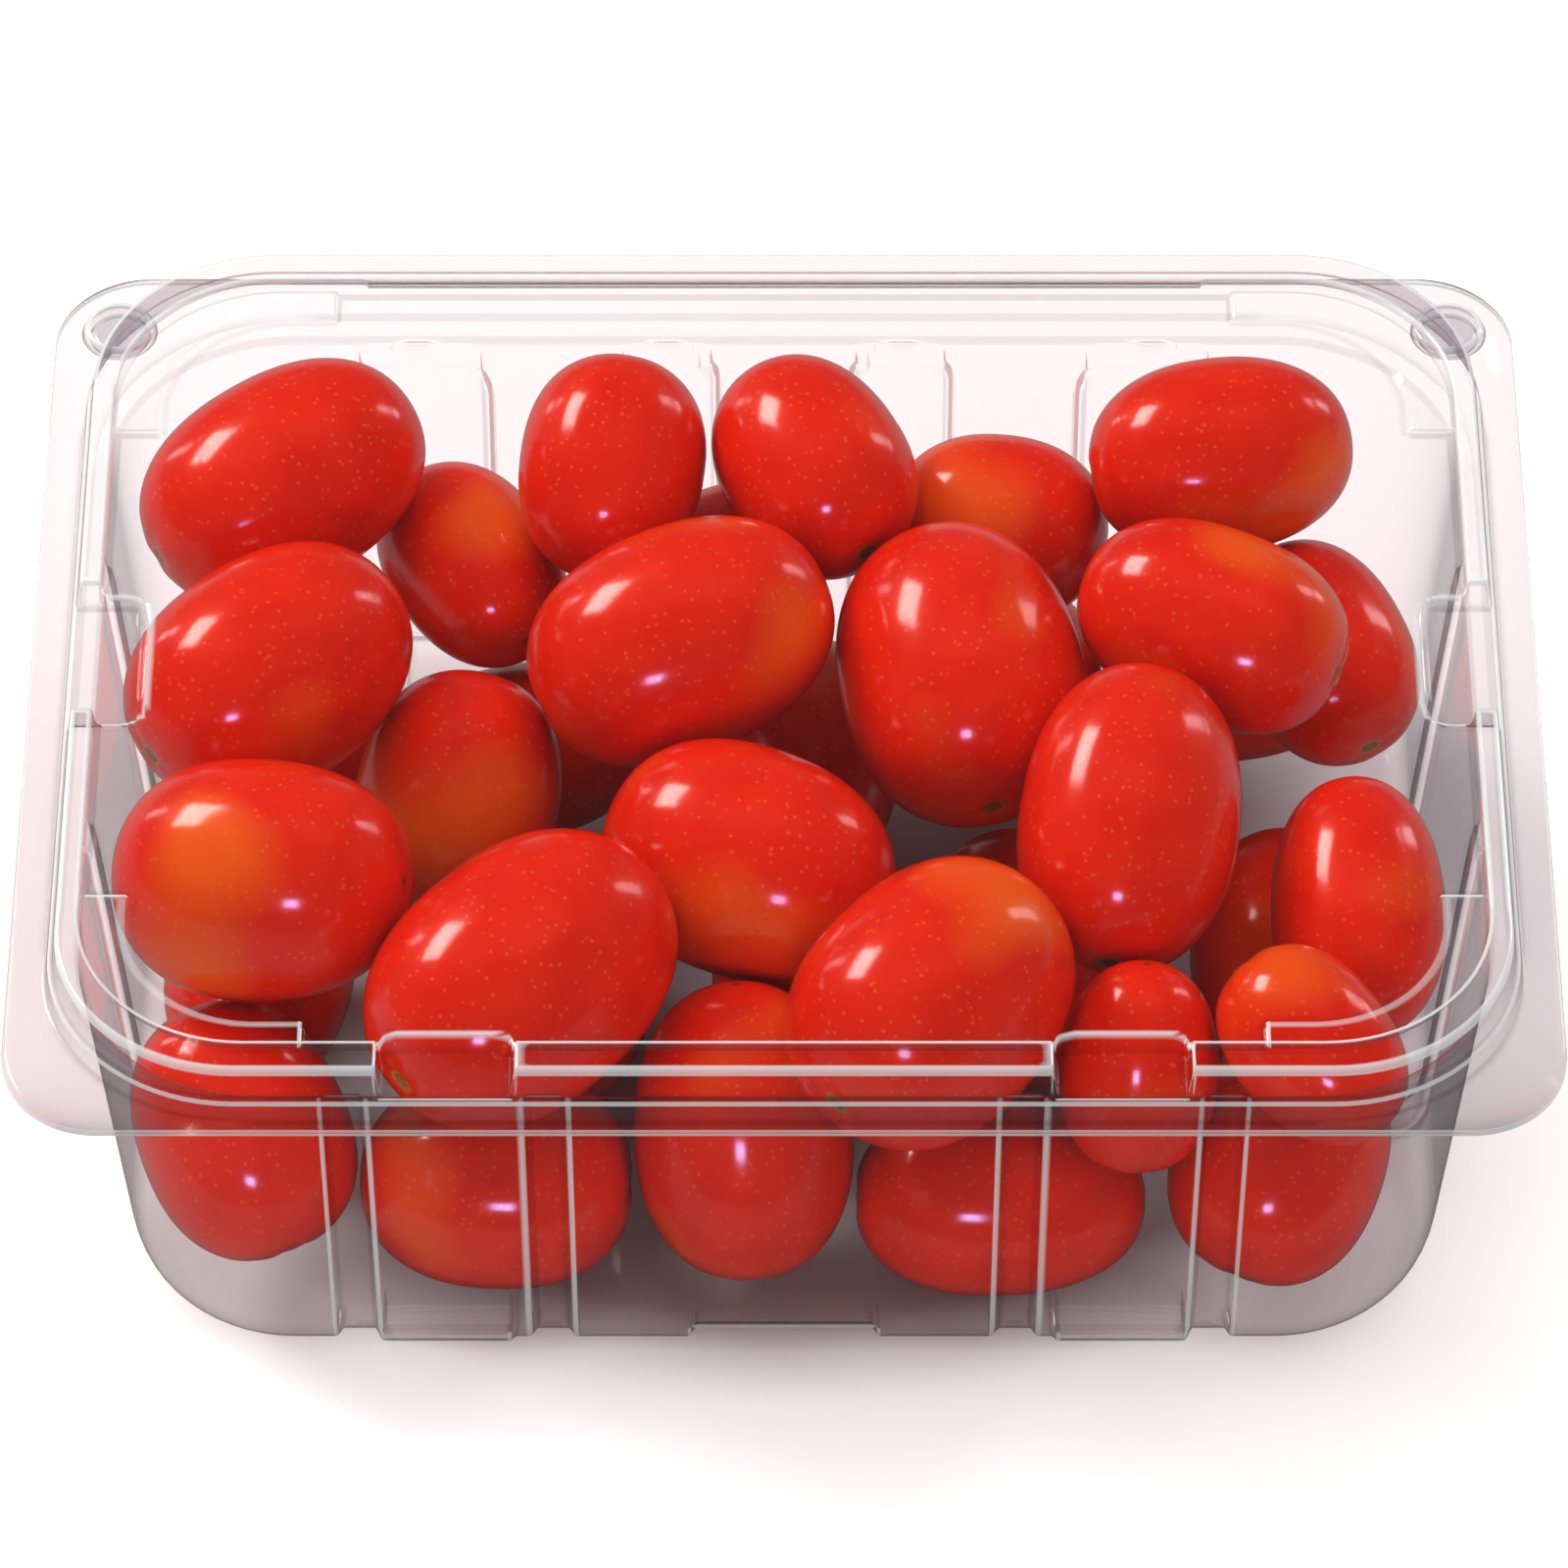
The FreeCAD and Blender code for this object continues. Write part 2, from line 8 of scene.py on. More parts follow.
import bmesh
import bpy
import numpy as np
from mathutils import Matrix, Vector


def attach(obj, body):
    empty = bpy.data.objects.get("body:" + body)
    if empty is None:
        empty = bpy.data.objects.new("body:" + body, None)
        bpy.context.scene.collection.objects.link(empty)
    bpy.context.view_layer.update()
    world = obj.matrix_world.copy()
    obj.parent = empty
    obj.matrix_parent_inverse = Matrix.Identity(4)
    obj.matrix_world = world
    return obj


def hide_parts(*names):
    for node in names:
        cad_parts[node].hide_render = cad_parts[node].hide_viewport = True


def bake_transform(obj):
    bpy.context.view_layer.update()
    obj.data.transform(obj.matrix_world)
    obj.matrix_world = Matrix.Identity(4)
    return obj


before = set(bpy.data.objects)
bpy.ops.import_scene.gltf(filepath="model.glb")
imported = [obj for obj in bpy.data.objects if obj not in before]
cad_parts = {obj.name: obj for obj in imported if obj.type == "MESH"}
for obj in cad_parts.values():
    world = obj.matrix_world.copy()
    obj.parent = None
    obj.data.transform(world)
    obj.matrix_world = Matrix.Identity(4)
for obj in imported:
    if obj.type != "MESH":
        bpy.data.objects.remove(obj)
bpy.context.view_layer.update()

log = logging.getLogger("clamshell")
MM = 0.001
LEAST_STEP = 0.02       # square of the shortest step that bending() trusts, in mm2


class Body(Enum):
    """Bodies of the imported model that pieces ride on."""

    TUB = "tub"
    LID = "lid"


class Slot(Enum):
    """Material slots of the record."""

    PLASTIC = "clear_pet"
    SKIN = "tomato_skin"


# Numbers, colours and nodes


def linear(code: str) -> tuple[float, float, float, float]:
    """Linear colour of an sRGB hex code.

    Args:
        code: six hex digits after a hash.

    Returns:
        Red, green and blue in linear light, and an alpha of 1.
    """
    parts = [int(code[i:i + 2], 16) / 255 for i in (1, 3, 5)]
    lit = [c / 12.92 if c <= 0.04045 else ((c + 0.055) / 1.055) ** 2.4 for c in parts]
    return lit[0], lit[1], lit[2], 1.0


def ramp(low: float, high: float, value: np.ndarray) -> np.ndarray:
    """Smooth rise from 0 at low to 1 at high: 3t^2 - 2t^3 of the share t between them.

    Args:
        low: value where the rise starts.
        high: value where it ends.
        value: array to read.

    Returns:
        Array of the same shape, from 0 to 1.
    """
    share = np.clip((value - low) / (high - low), 0.0, 1.0)
    return share * share * (3.0 - 2.0 * share)


def band(value: np.ndarray, middle: float, half: float, soft: float) -> np.ndarray:
    """1 within half of the middle, with a smooth fall to 0 over the soft width.

    Args:
        value: array to read.
        middle: centre of the band.
        half: half the band's width.
        soft: width of its fall, centred on its edge.

    Returns:
        Array of the same shape, from 0 to 1.
    """
    return 1.0 - ramp(half - soft / 2, half + soft / 2, np.abs(value - middle))


def plate_gap(x: np.ndarray, y: np.ndarray, half_x: float, half_y: float, corner: float) -> np.ndarray:
    """Distance outside a rounded rectangle's outline, negative inside it.

    Args:
        x: places along the pack, in mm.
        y: places across it.
        half_x: half the rectangle's length.
        half_y: half its width.
        corner: radius of its corners.

    Returns:
        Distance in mm: of the point beyond the corner's centre, less the radius.
    """
    over_x = np.abs(x) - (half_x - corner)
    over_y = np.abs(y) - (half_y - corner)
    out = np.hypot(np.maximum(over_x, 0), np.maximum(over_y, 0))
    return out + np.minimum(np.maximum(over_x, over_y), 0) - corner


def add(tree: bpy.types.NodeTree, kind: str, inputs: dict | None = None, **settings) -> bpy.types.Node:
    """Adds a node with its settings and links.

    Args:
        tree: the material's node tree.
        kind: the node's type.
        inputs: value, or socket to link, for each input.
        settings: the node's own properties.

    Returns:
        The new node.
    """
    node = tree.nodes.new(kind)
    for name, value in settings.items():
        setattr(node, name, value)
    for key, value in (inputs or {}).items():
        if isinstance(value, bpy.types.NodeSocket):
            tree.links.new(value, node.inputs[key])
        else:
            node.inputs[key].default_value = value
    return node


def new_tree(name: str) -> tuple[bpy.types.Material, bpy.types.NodeTree]:
    """Empty material and its node tree.

    Args:
        name: the material's name.

    Returns:
        The material and its tree.
    """
    material = bpy.data.materials.new(name)
    material.use_nodes = True
    material.node_tree.nodes.clear()
    return material, material.node_tree


# Meshes


def surface(name: str, points: np.ndarray) -> bpy.types.Object:
    """Object of a grid whose columns run round and close on themselves.

    Args:
        name: the object's name.
        points: rows by columns by 3, in mm.

    Returns:
        Object at the origin, smooth shaded, with a quad between each four neighbours.
    """
    rows, columns = points.shape[:2]
    index = np.arange(rows * columns).reshape(rows, columns)
    beside = np.roll(index, -1, axis=1)
    quads = np.stack([index[:-1], beside[:-1], beside[1:], index[1:]], axis=-1).reshape(-1, 4)
    mesh = bpy.data.meshes.new(name)
    mesh.vertices.add(rows * columns)
    mesh.vertices.foreach_set("co", (points.reshape(-1, 3) * MM).astype(np.float32).ravel())
    mesh.loops.add(quads.size)
    mesh.loops.foreach_set("vertex_index", quads.astype(np.int32).ravel())
    mesh.polygons.add(len(quads))
    mesh.polygons.foreach_set("loop_start", (np.arange(len(quads)) * 4).astype(np.int32))
    mesh.update(calc_edges=True)
    mesh.polygons.foreach_set("use_smooth", np.ones(len(mesh.polygons), bool))
    piece = bpy.data.objects.new(name, mesh)
    bpy.context.scene.collection.objects.link(piece)
    return piece


def thicken(piece: bpy.types.Object, thickness: float) -> None:
    """Gives a skin its wall, inwards from the outer face.

    The cut edge takes the second finish and the inner face the third.

    Args:
        piece: the skin.
        thickness: wall in mm.
    """
    wall = piece.modifiers.new("Wall", "SOLIDIFY")
    wall.thickness = thickness * MM
    wall.offset = -1.0
    wall.use_even_offset = True
    wall.material_offset_rim = 1
    wall.material_offset = 2


def coat(piece: bpy.types.Object, finishes: list[bpy.types.Material]) -> None:
    """Gives a piece its materials in order.

    Args:
        piece: the object.
        finishes: its materials.
    """
    for finish in finishes:
        piece.data.materials.append(finish)


def softened(stops: list[tuple[float, ...]], rounds: list[float], steps: list[int]) -> np.ndarray:
    """Section of a formed sheet with each bend rounded by a quadratic curve.

    Args:
        stops: half length, half width, corner radius and height at each bend, in mm.
        rounds: length of the run that each bend takes on either side.
        steps: points on each bend's round.

    Returns:
        Array of rows of half length, half width, corner radius and height.
    """
    marks = np.array(stops, float)
    pieces = [marks[:1]]
    for before, here, after, reach, count in zip(marks[:-2], marks[1:-1], marks[2:], rounds, steps):
        share = np.linspace(0, 1, count)[:, None]
        back, ahead = before - here, after - here
        back_length = max(1e-6, np.hypot(back[1], back[3]))
        ahead_length = max(1e-6, np.hypot(ahead[1], ahead[3]))
        start = here + back * min(0.45, reach / back_length)
        end = here + ahead * min(0.45, reach / ahead_length)
        pieces.append((1 - share) ** 2 * start + 2 * share * (1 - share) * here + share ** 2 * end)
    pieces.append(marks[-1:])
    return np.concatenate(pieces)


def filled(bends: np.ndarray, spacing: float, most: int = 99) -> np.ndarray:
    """Section with rows added between its bends, so that no long run goes unsampled.

    Args:
        bends: rows of the rounded section.
        spacing: distance between rows, in mm.
        most: largest number of rows on one run.

    Returns:
        Rows of the whole section.
    """
    runs = np.hypot(np.diff(bends[:, 1]), np.diff(bends[:, 3]))
    counts = [int(max(1, min(most, round(run / spacing)))) for run in runs]
    steps = [np.linspace(a, b, n, endpoint=False) for a, b, n in zip(bends[:-1], bends[1:], counts)]
    return np.concatenate(steps + [bends[-1:]])


@dataclass(frozen=True)
class Outline:
    """Places round the pack where a formed sheet is sampled, closest where a feature starts or ends.

    Between -keep and keep each place is the same on every ring, and beyond it the places stretch to the corner.
    """

    keep_x: float
    keep_y: float
    marks_x: tuple[float, ...]
    marks_y: tuple[float, ...]
    corner_steps: int = 14

    def side(self, marks: tuple[float, ...], keep: float) -> np.ndarray:
        """Places along one side in ascending order.

        Args:
            marks: places of the feature edges on either side of the middle.
            keep: end of the part that doesn't stretch.

        Returns:
            Places in mm, and past keep the share of the way to the corner added to it.
        """
        near = np.linspace(-0.6, 0.6, 6)
        coarse = np.linspace(-keep, keep, int(keep))
        fine = [sign * mark + near for mark in marks for sign in (-1, 1)]
        places = np.unique(np.round(np.concatenate([coarse, *fine]), 3))
        places = places[np.abs(places) <= keep]
        ends = keep + np.array([0.34, 0.67, 1.0])
        return np.concatenate([-ends[::-1], places, ends])

    @staticmethod
    def stretched(places: np.ndarray, keep: float, end: np.ndarray) -> np.ndarray:
        """Places along one side of each ring.

        Args:
            places: what side() gives, as one row.
            keep: end of the part that doesn't stretch.
            end: where each ring's corner starts, as one column.

        Returns:
            Places in mm, a row for each ring.
        """
        beyond = keep + (np.abs(places) - keep) * (end - keep)
        return np.where(np.abs(places) <= keep, places, np.sign(places) * beyond)

    def rings(self, section: np.ndarray) -> tuple[np.ndarray, np.ndarray, np.ndarray]:
        """Rounded rectangles of a section, sampled in step.

        Args:
            section: rows of half length, half width, corner radius and height.

        Returns:
            x, y and z arrays, a row for each ring, anticlockwise seen from above.
        """
        half_x, half_y, corner, height = (section[:, i:i + 1] for i in range(4))
        mid_x, mid_y = half_x - corner, half_y - corner
        along_x = self.stretched(self.side(self.marks_x, self.keep_x)[None, :], self.keep_x, mid_x)
        along_y = self.stretched(self.side(self.marks_y, self.keep_y)[None, :], self.keep_y, mid_y)
        turn = np.linspace(0, math.pi / 2, self.corner_steps + 2)[None, 1:-1]
        sides = ((half_x, along_y), (along_x[:, ::-1], half_y), (-half_x, along_y[:, ::-1]), (along_x, -half_y))
        signs = ((1, 1), (-1, 1), (-1, -1), (1, -1))
        xs, ys = [], []
        for quarter, ((side_x, side_y), (sign_x, sign_y)) in enumerate(zip(sides, signs)):
            angle = turn + quarter * math.pi / 2
            xs += [side_x + 0 * side_y, sign_x * mid_x + corner * np.cos(angle)]
            ys += [side_y + 0 * side_x, sign_y * mid_y + corner * np.sin(angle)]
        x, y = np.concatenate(xs, axis=1), np.concatenate(ys, axis=1)
        return x, y, height + 0 * x


def across(grid: np.ndarray) -> np.ndarray:
    """Change over two columns of a grid that closes on itself.

    Args:
        grid: rows by columns by 3.

    Returns:
        Array of the same shape.
    """
    return np.roll(grid, -1, axis=1) - np.roll(grid, 1, axis=1)


def down(grid: np.ndarray) -> np.ndarray:
    """Change over two rows of a grid.

    Args:
        grid: rows by columns by 3.

    Returns:
        Array of the same shape.
    """
    return np.gradient(grid, axis=0) * 2


def facing(points: np.ndarray) -> np.ndarray:
    """Unit normals of a closed grid, as the cross product of its two central differences.

    Args:
        points: rows by columns by 3.

    Returns:
        Array of the same shape.
    """
    normal = np.cross(across(points), down(points))
    return normal / np.maximum(np.linalg.norm(normal, axis=-1, keepdims=True), 1e-9)


def bending(points: np.ndarray) -> np.ndarray:
    """How tightly a closed grid bends, positive where it is crowned and negative where it is hollow.

    Along rows and along columns it is the turn of the normal over the distance, per mm. The larger one counts.

    Args:
        points: rows by columns by 3, in mm, with normals outwards by the right-hand rule.

    Returns:
        Array on the grid, from -1 to 1.
    """
    normal = facing(points)
    turns = []
    for change in (across, down):
        step = change(points)
        turns.append((change(normal) * step).sum(-1) / np.maximum((step ** 2).sum(-1), LEAST_STEP))
    return np.clip(np.where(np.abs(turns[0]) > np.abs(turns[1]), *turns), -1.0, 1.0)


def store(piece: bpy.types.Object, name: str, values: np.ndarray, kind: str) -> None:
    """Stores one value or vector for each point of a piece's grid.

    Args:
        piece: the object, before its poles are merged.
        name: the attribute's name.
        values: array on the grid.
        kind: FLOAT or FLOAT_VECTOR.
    """
    layer = piece.data.attributes.new(name, kind, "POINT")
    layer.data.foreach_set("vector" if kind == "FLOAT_VECTOR" else "value",
                           np.ascontiguousarray(values, np.float32).ravel())


def close_poles(piece: bpy.types.Object) -> None:
    """Merges the coincident points at a grid's ends.

    Args:
        piece: the object.
    """
    merge = bmesh.new()
    merge.from_mesh(piece.data)
    bmesh.ops.remove_doubles(merge, verts=merge.verts, dist=1e-7)
    merge.to_mesh(piece.data)
    merge.free()


# Finishes


@dataclass(frozen=True)
class ClearSheet:
    """Clear PET, thermoformed from a 0.5 mm sheet.

    The sheet is see-through with a mirror gloss. Each tight crown carries a painted highlight, a white line of
    extra mirror share and painted diffuse white, and each tight hollow carries painted shade, a grey tint; each
    wall seen along its length shows grey as well. It sends back little light head on and more at a slant, as
    Schlick's curve gives it. The bends come from the attribute that bending() fills.
    """

    name: str = "thermoformed clear PET"
    clear: str = "#EFECED"
    along: str = "#A7A4A9"
    # milky haze colour, also the painted white of the highlight lines on tight crowns
    haze_and_painted_white: str = "#E8ECEF"
    head_on: float = 0.016
    slanting: float = 0.7
    tint_power: float = 4.2
    # painted shade: share of the grey tint laid on tight hollows
    hollow_painted_shade: float = 0.40
    # the next two paint a highlight line on tight crowns: extra mirror share and a diffuse white
    crown_painted_gloss: float = 0.22
    crown_painted_white: float = 0.50
    roughness: float = 0.045
    haze_share: float = 0.003

    def material(self) -> bpy.types.Material:
        """Builds the finish.

        Returns:
            The material.
        """
        material, tree = new_tree(self.name)
        bend = add(tree, "ShaderNodeAttribute", attribute_name="bend").outputs["Fac"]
        # painted highlight mask: 0 to 1 over the tight crowns
        crown = add(tree, "ShaderNodeMapRange", {"Value": bend, "From Min": 0.2, "From Max": 0.7})
        # painted shade mask: grey tint share over the tight hollows
        hollow = add(tree, "ShaderNodeMapRange", {"Value": bend, "From Min": -0.12, "From Max": -0.8,
                                                  "To Max": self.hollow_painted_shade})
        graze = add(tree, "ShaderNodeLayerWeight", {"Blend": 0.5})
        steep = add(tree, "ShaderNodeMath", {0: graze.outputs["Facing"], 1: self.tint_power}, operation="POWER")
        # grey tint share: a grazing view, or painted shade in a hollow, whichever is more
        grey = add(tree, "ShaderNodeMath", {0: steep.outputs[0], 1: hollow.outputs[0]}, operation="MAXIMUM")
        tint = add(tree, "ShaderNodeMix", {0: grey.outputs[0], 6: linear(self.clear), 7: linear(self.along)},
                   data_type="RGBA")
        through = add(tree, "ShaderNodeBsdfTransparent", {"Color": tint.outputs[2]})
        mirror = add(tree, "ShaderNodeBsdfGlossy", {"Color": (1, 1, 1, 1), "Roughness": self.roughness})
        slant = add(tree, "ShaderNodeMath", {0: graze.outputs["Facing"], 1: 5.0}, operation="POWER")
        share = add(tree, "ShaderNodeMapRange", {"Value": slant.outputs[0], "To Min": self.head_on,
                                                 "To Max": self.slanting})
        # mirror share, raised on the crowns as a painted highlight
        mirror_share_with_painted_highlight = add(tree, "ShaderNodeMath", {0: crown.outputs[0], 1: self.crown_painted_gloss, 2: share.outputs[0]},
                     operation="MULTIPLY_ADD", use_clamp=True)
        sheet = add(tree, "ShaderNodeMixShader", {0: mirror_share_with_painted_highlight.outputs[0], 1: through.outputs[0],
                                                  2: mirror.outputs[0]})
        # milky diffuse, laid thicker on the crowns as a painted white highlight line
        milky_and_highlight_diffuse = add(tree, "ShaderNodeBsdfDiffuse", {"Color": linear(self.haze_and_painted_white)})
        # diffuse share: even haze, plus the painted highlight on the crowns
        white = add(tree, "ShaderNodeMath", {0: crown.outputs[0], 1: self.crown_painted_white, 2: self.haze_share},
                    operation="MULTIPLY_ADD")
        body = add(tree, "ShaderNodeMixShader", {0: white.outputs[0], 1: sheet.outputs[0], 2: milky_and_highlight_diffuse.outputs[0]})
        lamp = add(tree, "ShaderNodeLightPath")
        shade = add(tree, "ShaderNodeBsdfTransparent", {"Color": linear("#F3F5F5")})
        seen = add(tree, "ShaderNodeMixShader", {0: lamp.outputs["Is Shadow Ray"], 1: body.outputs[0],
                                                 2: shade.outputs[0]})
        add(tree, "ShaderNodeOutputMaterial", {"Surface": seen.outputs[0]})
        return material


@dataclass(frozen=True)
class InnerFace:
    """Inner face of the clear PET sheet, pressed on the mould's cool side.

    The outer face's finish carries the gloss of both, so this one only tints the light that passes.
    """

    name: str = "inner face of clear PET"
    clear: str = "#FCFCFD"

    def material(self) -> bpy.types.Material:
        """Builds the finish.

        Returns:
            The material.
        """
        material, tree = new_tree(self.name)
        through = add(tree, "ShaderNodeBsdfTransparent", {"Color": linear(self.clear)})
        add(tree, "ShaderNodeOutputMaterial", {"Surface": through.outputs[0]})
        return material


@dataclass(frozen=True)
class CutEdge:
    """Die-cut edge of the clear PET sheet.

    The knife leaves a fine matt face, pale in itself; its white also stands in, as painted light, for the light
    carried inside the sheet, so the edge shows as a white line.
    """

    name: str = "die-cut PET edge"
    pale: str = "#F1F4F5"
    roughness: float = 0.35
    cover: float = 0.45
    grain_mm: float = 0.8

    def material(self) -> bpy.types.Material:
        """Builds the finish.

        Returns:
            The material.
        """
        material, tree = new_tree(self.name)
        place = add(tree, "ShaderNodeTexCoord").outputs["Object"]
        grain = add(tree, "ShaderNodeTexNoise", {"Vector": place, "Scale": 1000 / self.grain_mm, "Detail": 2.0})
        # pale tone of the matt face: in part its own colour, in part painted light for the light carried in the
        # sheet
        tone = add(tree, "ShaderNodeMix", {0: grain.outputs["Fac"], 6: linear("#DDE2E5"), 7: linear(self.pale)},
                   data_type="RGBA")
        face = add(tree, "ShaderNodeBsdfPrincipled", {"Base Color": tone.outputs[2], "Roughness": self.roughness,
                                                      "IOR": 1.575})
        through = add(tree, "ShaderNodeBsdfTransparent", {"Color": linear("#F2F4F5")})
        edge = add(tree, "ShaderNodeMixShader", {0: self.cover, 1: through.outputs[0], 2: face.outputs[0]})
        add(tree, "ShaderNodeOutputMaterial", {"Surface": edge.outputs[0]})
        return material


@dataclass(frozen=True)
class TomatoSkin:
    """Skin of a ripe baby plum tomato, grown and washed.

    A thin waxy cuticle over red flesh: a wet-looking gloss, deep red in the shade, warmer orange patches that
    ripened last, and pale freckles about 0.4 mm across. The stem leaves a corky brown scar in a small green-yellow
    ring, and the tip keeps a dark point. The pattern reads the tomato's own coordinates in millimetres.
    """

    name: str = "waxy plum tomato skin"
    red: str = "#F22A03"
    deep: str = "#DC1401"
    orange: str = "#F55A08"
    freckle: str = "#F88640"
    cork: str = "#A67C42"
    ring: str = "#A8852A"
    sheen: str = "#FF6A3C"
    patch_mm: float = 22.0
    freckle_mm: float = 1.1

    def material(self) -> bpy.types.Material:
        """Builds the finish.

        Returns:
            The material.
        """
        material, tree = new_tree(self.name)
        own = add(tree, "ShaderNodeAttribute", attribute_name="own_place").outputs["Vector"]
        ripe = add(tree, "ShaderNodeAttribute", attribute_name="own_ripeness").outputs["Fac"]
        scar = add(tree, "ShaderNodeAttribute", attribute_name="own_scar").outputs["Fac"]
        point = add(tree, "ShaderNodeAttribute", attribute_name="own_point").outputs["Fac"]

        patches = add(tree, "ShaderNodeTexNoise", {"Vector": own, "Scale": 1 / self.patch_mm,
                                                   "Detail": 1.0, "Roughness": 0.45})
        late = add(tree, "ShaderNodeMath", {0: patches.outputs["Fac"], 1: ripe}, operation="SUBTRACT")
        warm = add(tree, "ShaderNodeMapRange", {"Value": late.outputs[0], "From Min": 0.0, "From Max": 0.18})
        clouds = add(tree, "ShaderNodeTexNoise", {"Vector": own, "Scale": 1 / 6.0, "Detail": 1.0})
        tone = add(tree, "ShaderNodeMix", {0: clouds.outputs["Fac"], 6: linear(self.deep), 7: linear(self.red)},
                   data_type="RGBA")
        flesh = add(tree, "ShaderNodeMix", {0: warm.outputs[0], 6: tone.outputs[2], 7: linear(self.orange)},
                    data_type="RGBA")
        dots = add(tree, "ShaderNodeTexVoronoi", {"Vector": own, "Scale": 1 / self.freckle_mm, "Randomness": 1.0})
        small = add(tree, "ShaderNodeMapRange", {"Value": dots.outputs["Distance"], "From Min": 0.08,
                                                 "From Max": 0.26, "To Min": 0.35, "To Max": 0.0})
        speckled = add(tree, "ShaderNodeMix", {0: small.outputs[0], 6: flesh.outputs[2], 7: linear(self.freckle)},
                       data_type="RGBA")
        halo = add(tree, "ShaderNodeMapRange", {"Value": scar, "From Min": 0.15, "From Max": 0.5})
        ringed = add(tree, "ShaderNodeMix", {0: halo.outputs[0], 6: speckled.outputs[2], 7: linear(self.ring)},
                     data_type="RGBA")
        fibre = add(tree, "ShaderNodeTexNoise", {"Vector": own, "Scale": 2.2, "Detail": 1.0})
        corky = add(tree, "ShaderNodeMix", {0: fibre.outputs["Fac"], 6: linear("#6A4A22"), 7: linear(self.cork)},
                    data_type="RGBA")
        core = add(tree, "ShaderNodeMapRange", {"Value": scar, "From Min": 0.55, "From Max": 0.75})
        scarred = add(tree, "ShaderNodeMix", {0: core.outputs[0], 6: ringed.outputs[2], 7: corky.outputs[2]},
                      data_type="RGBA")
        colour = add(tree, "ShaderNodeMix", {0: point, 6: scarred.outputs[2], 7: linear("#5A2A12")},
                     data_type="RGBA")

        dull = add(tree, "ShaderNodeMapRange", {"Value": clouds.outputs["Fac"], "To Min": 0.28, "To Max": 0.40})
        matt = add(tree, "ShaderNodeMix", {0: core.outputs[0], 2: dull.outputs[0], 3: 0.8})
        skin = add(tree, "ShaderNodeBsdfPrincipled", {
            "Base Color": colour.outputs[2], "Roughness": matt.outputs[0], "IOR": 1.42,
            "Specular IOR Level": 0.4, "Specular Tint": linear(self.sheen),
            "Coat Weight": 0.9, "Coat Roughness": 0.13})
        add(tree, "ShaderNodeOutputMaterial", {"Surface": skin.outputs[0]})
        return material


# The formed sheets


@dataclass(frozen=True)
class Sheet:
    """What tub and lid share: sheet, flange and the fold between them, in mm."""

    thickness: float = 0.46
    half_length: float = 82.5
    half_width: float = 62.5
    corner: float = 10.5
    meeting_height: float = 52.0
    flange_reach: float = 0.5       # from the meeting plane to either flange's outer face
    fold_half: float = 47.5
    fold_reach: float = 0.5


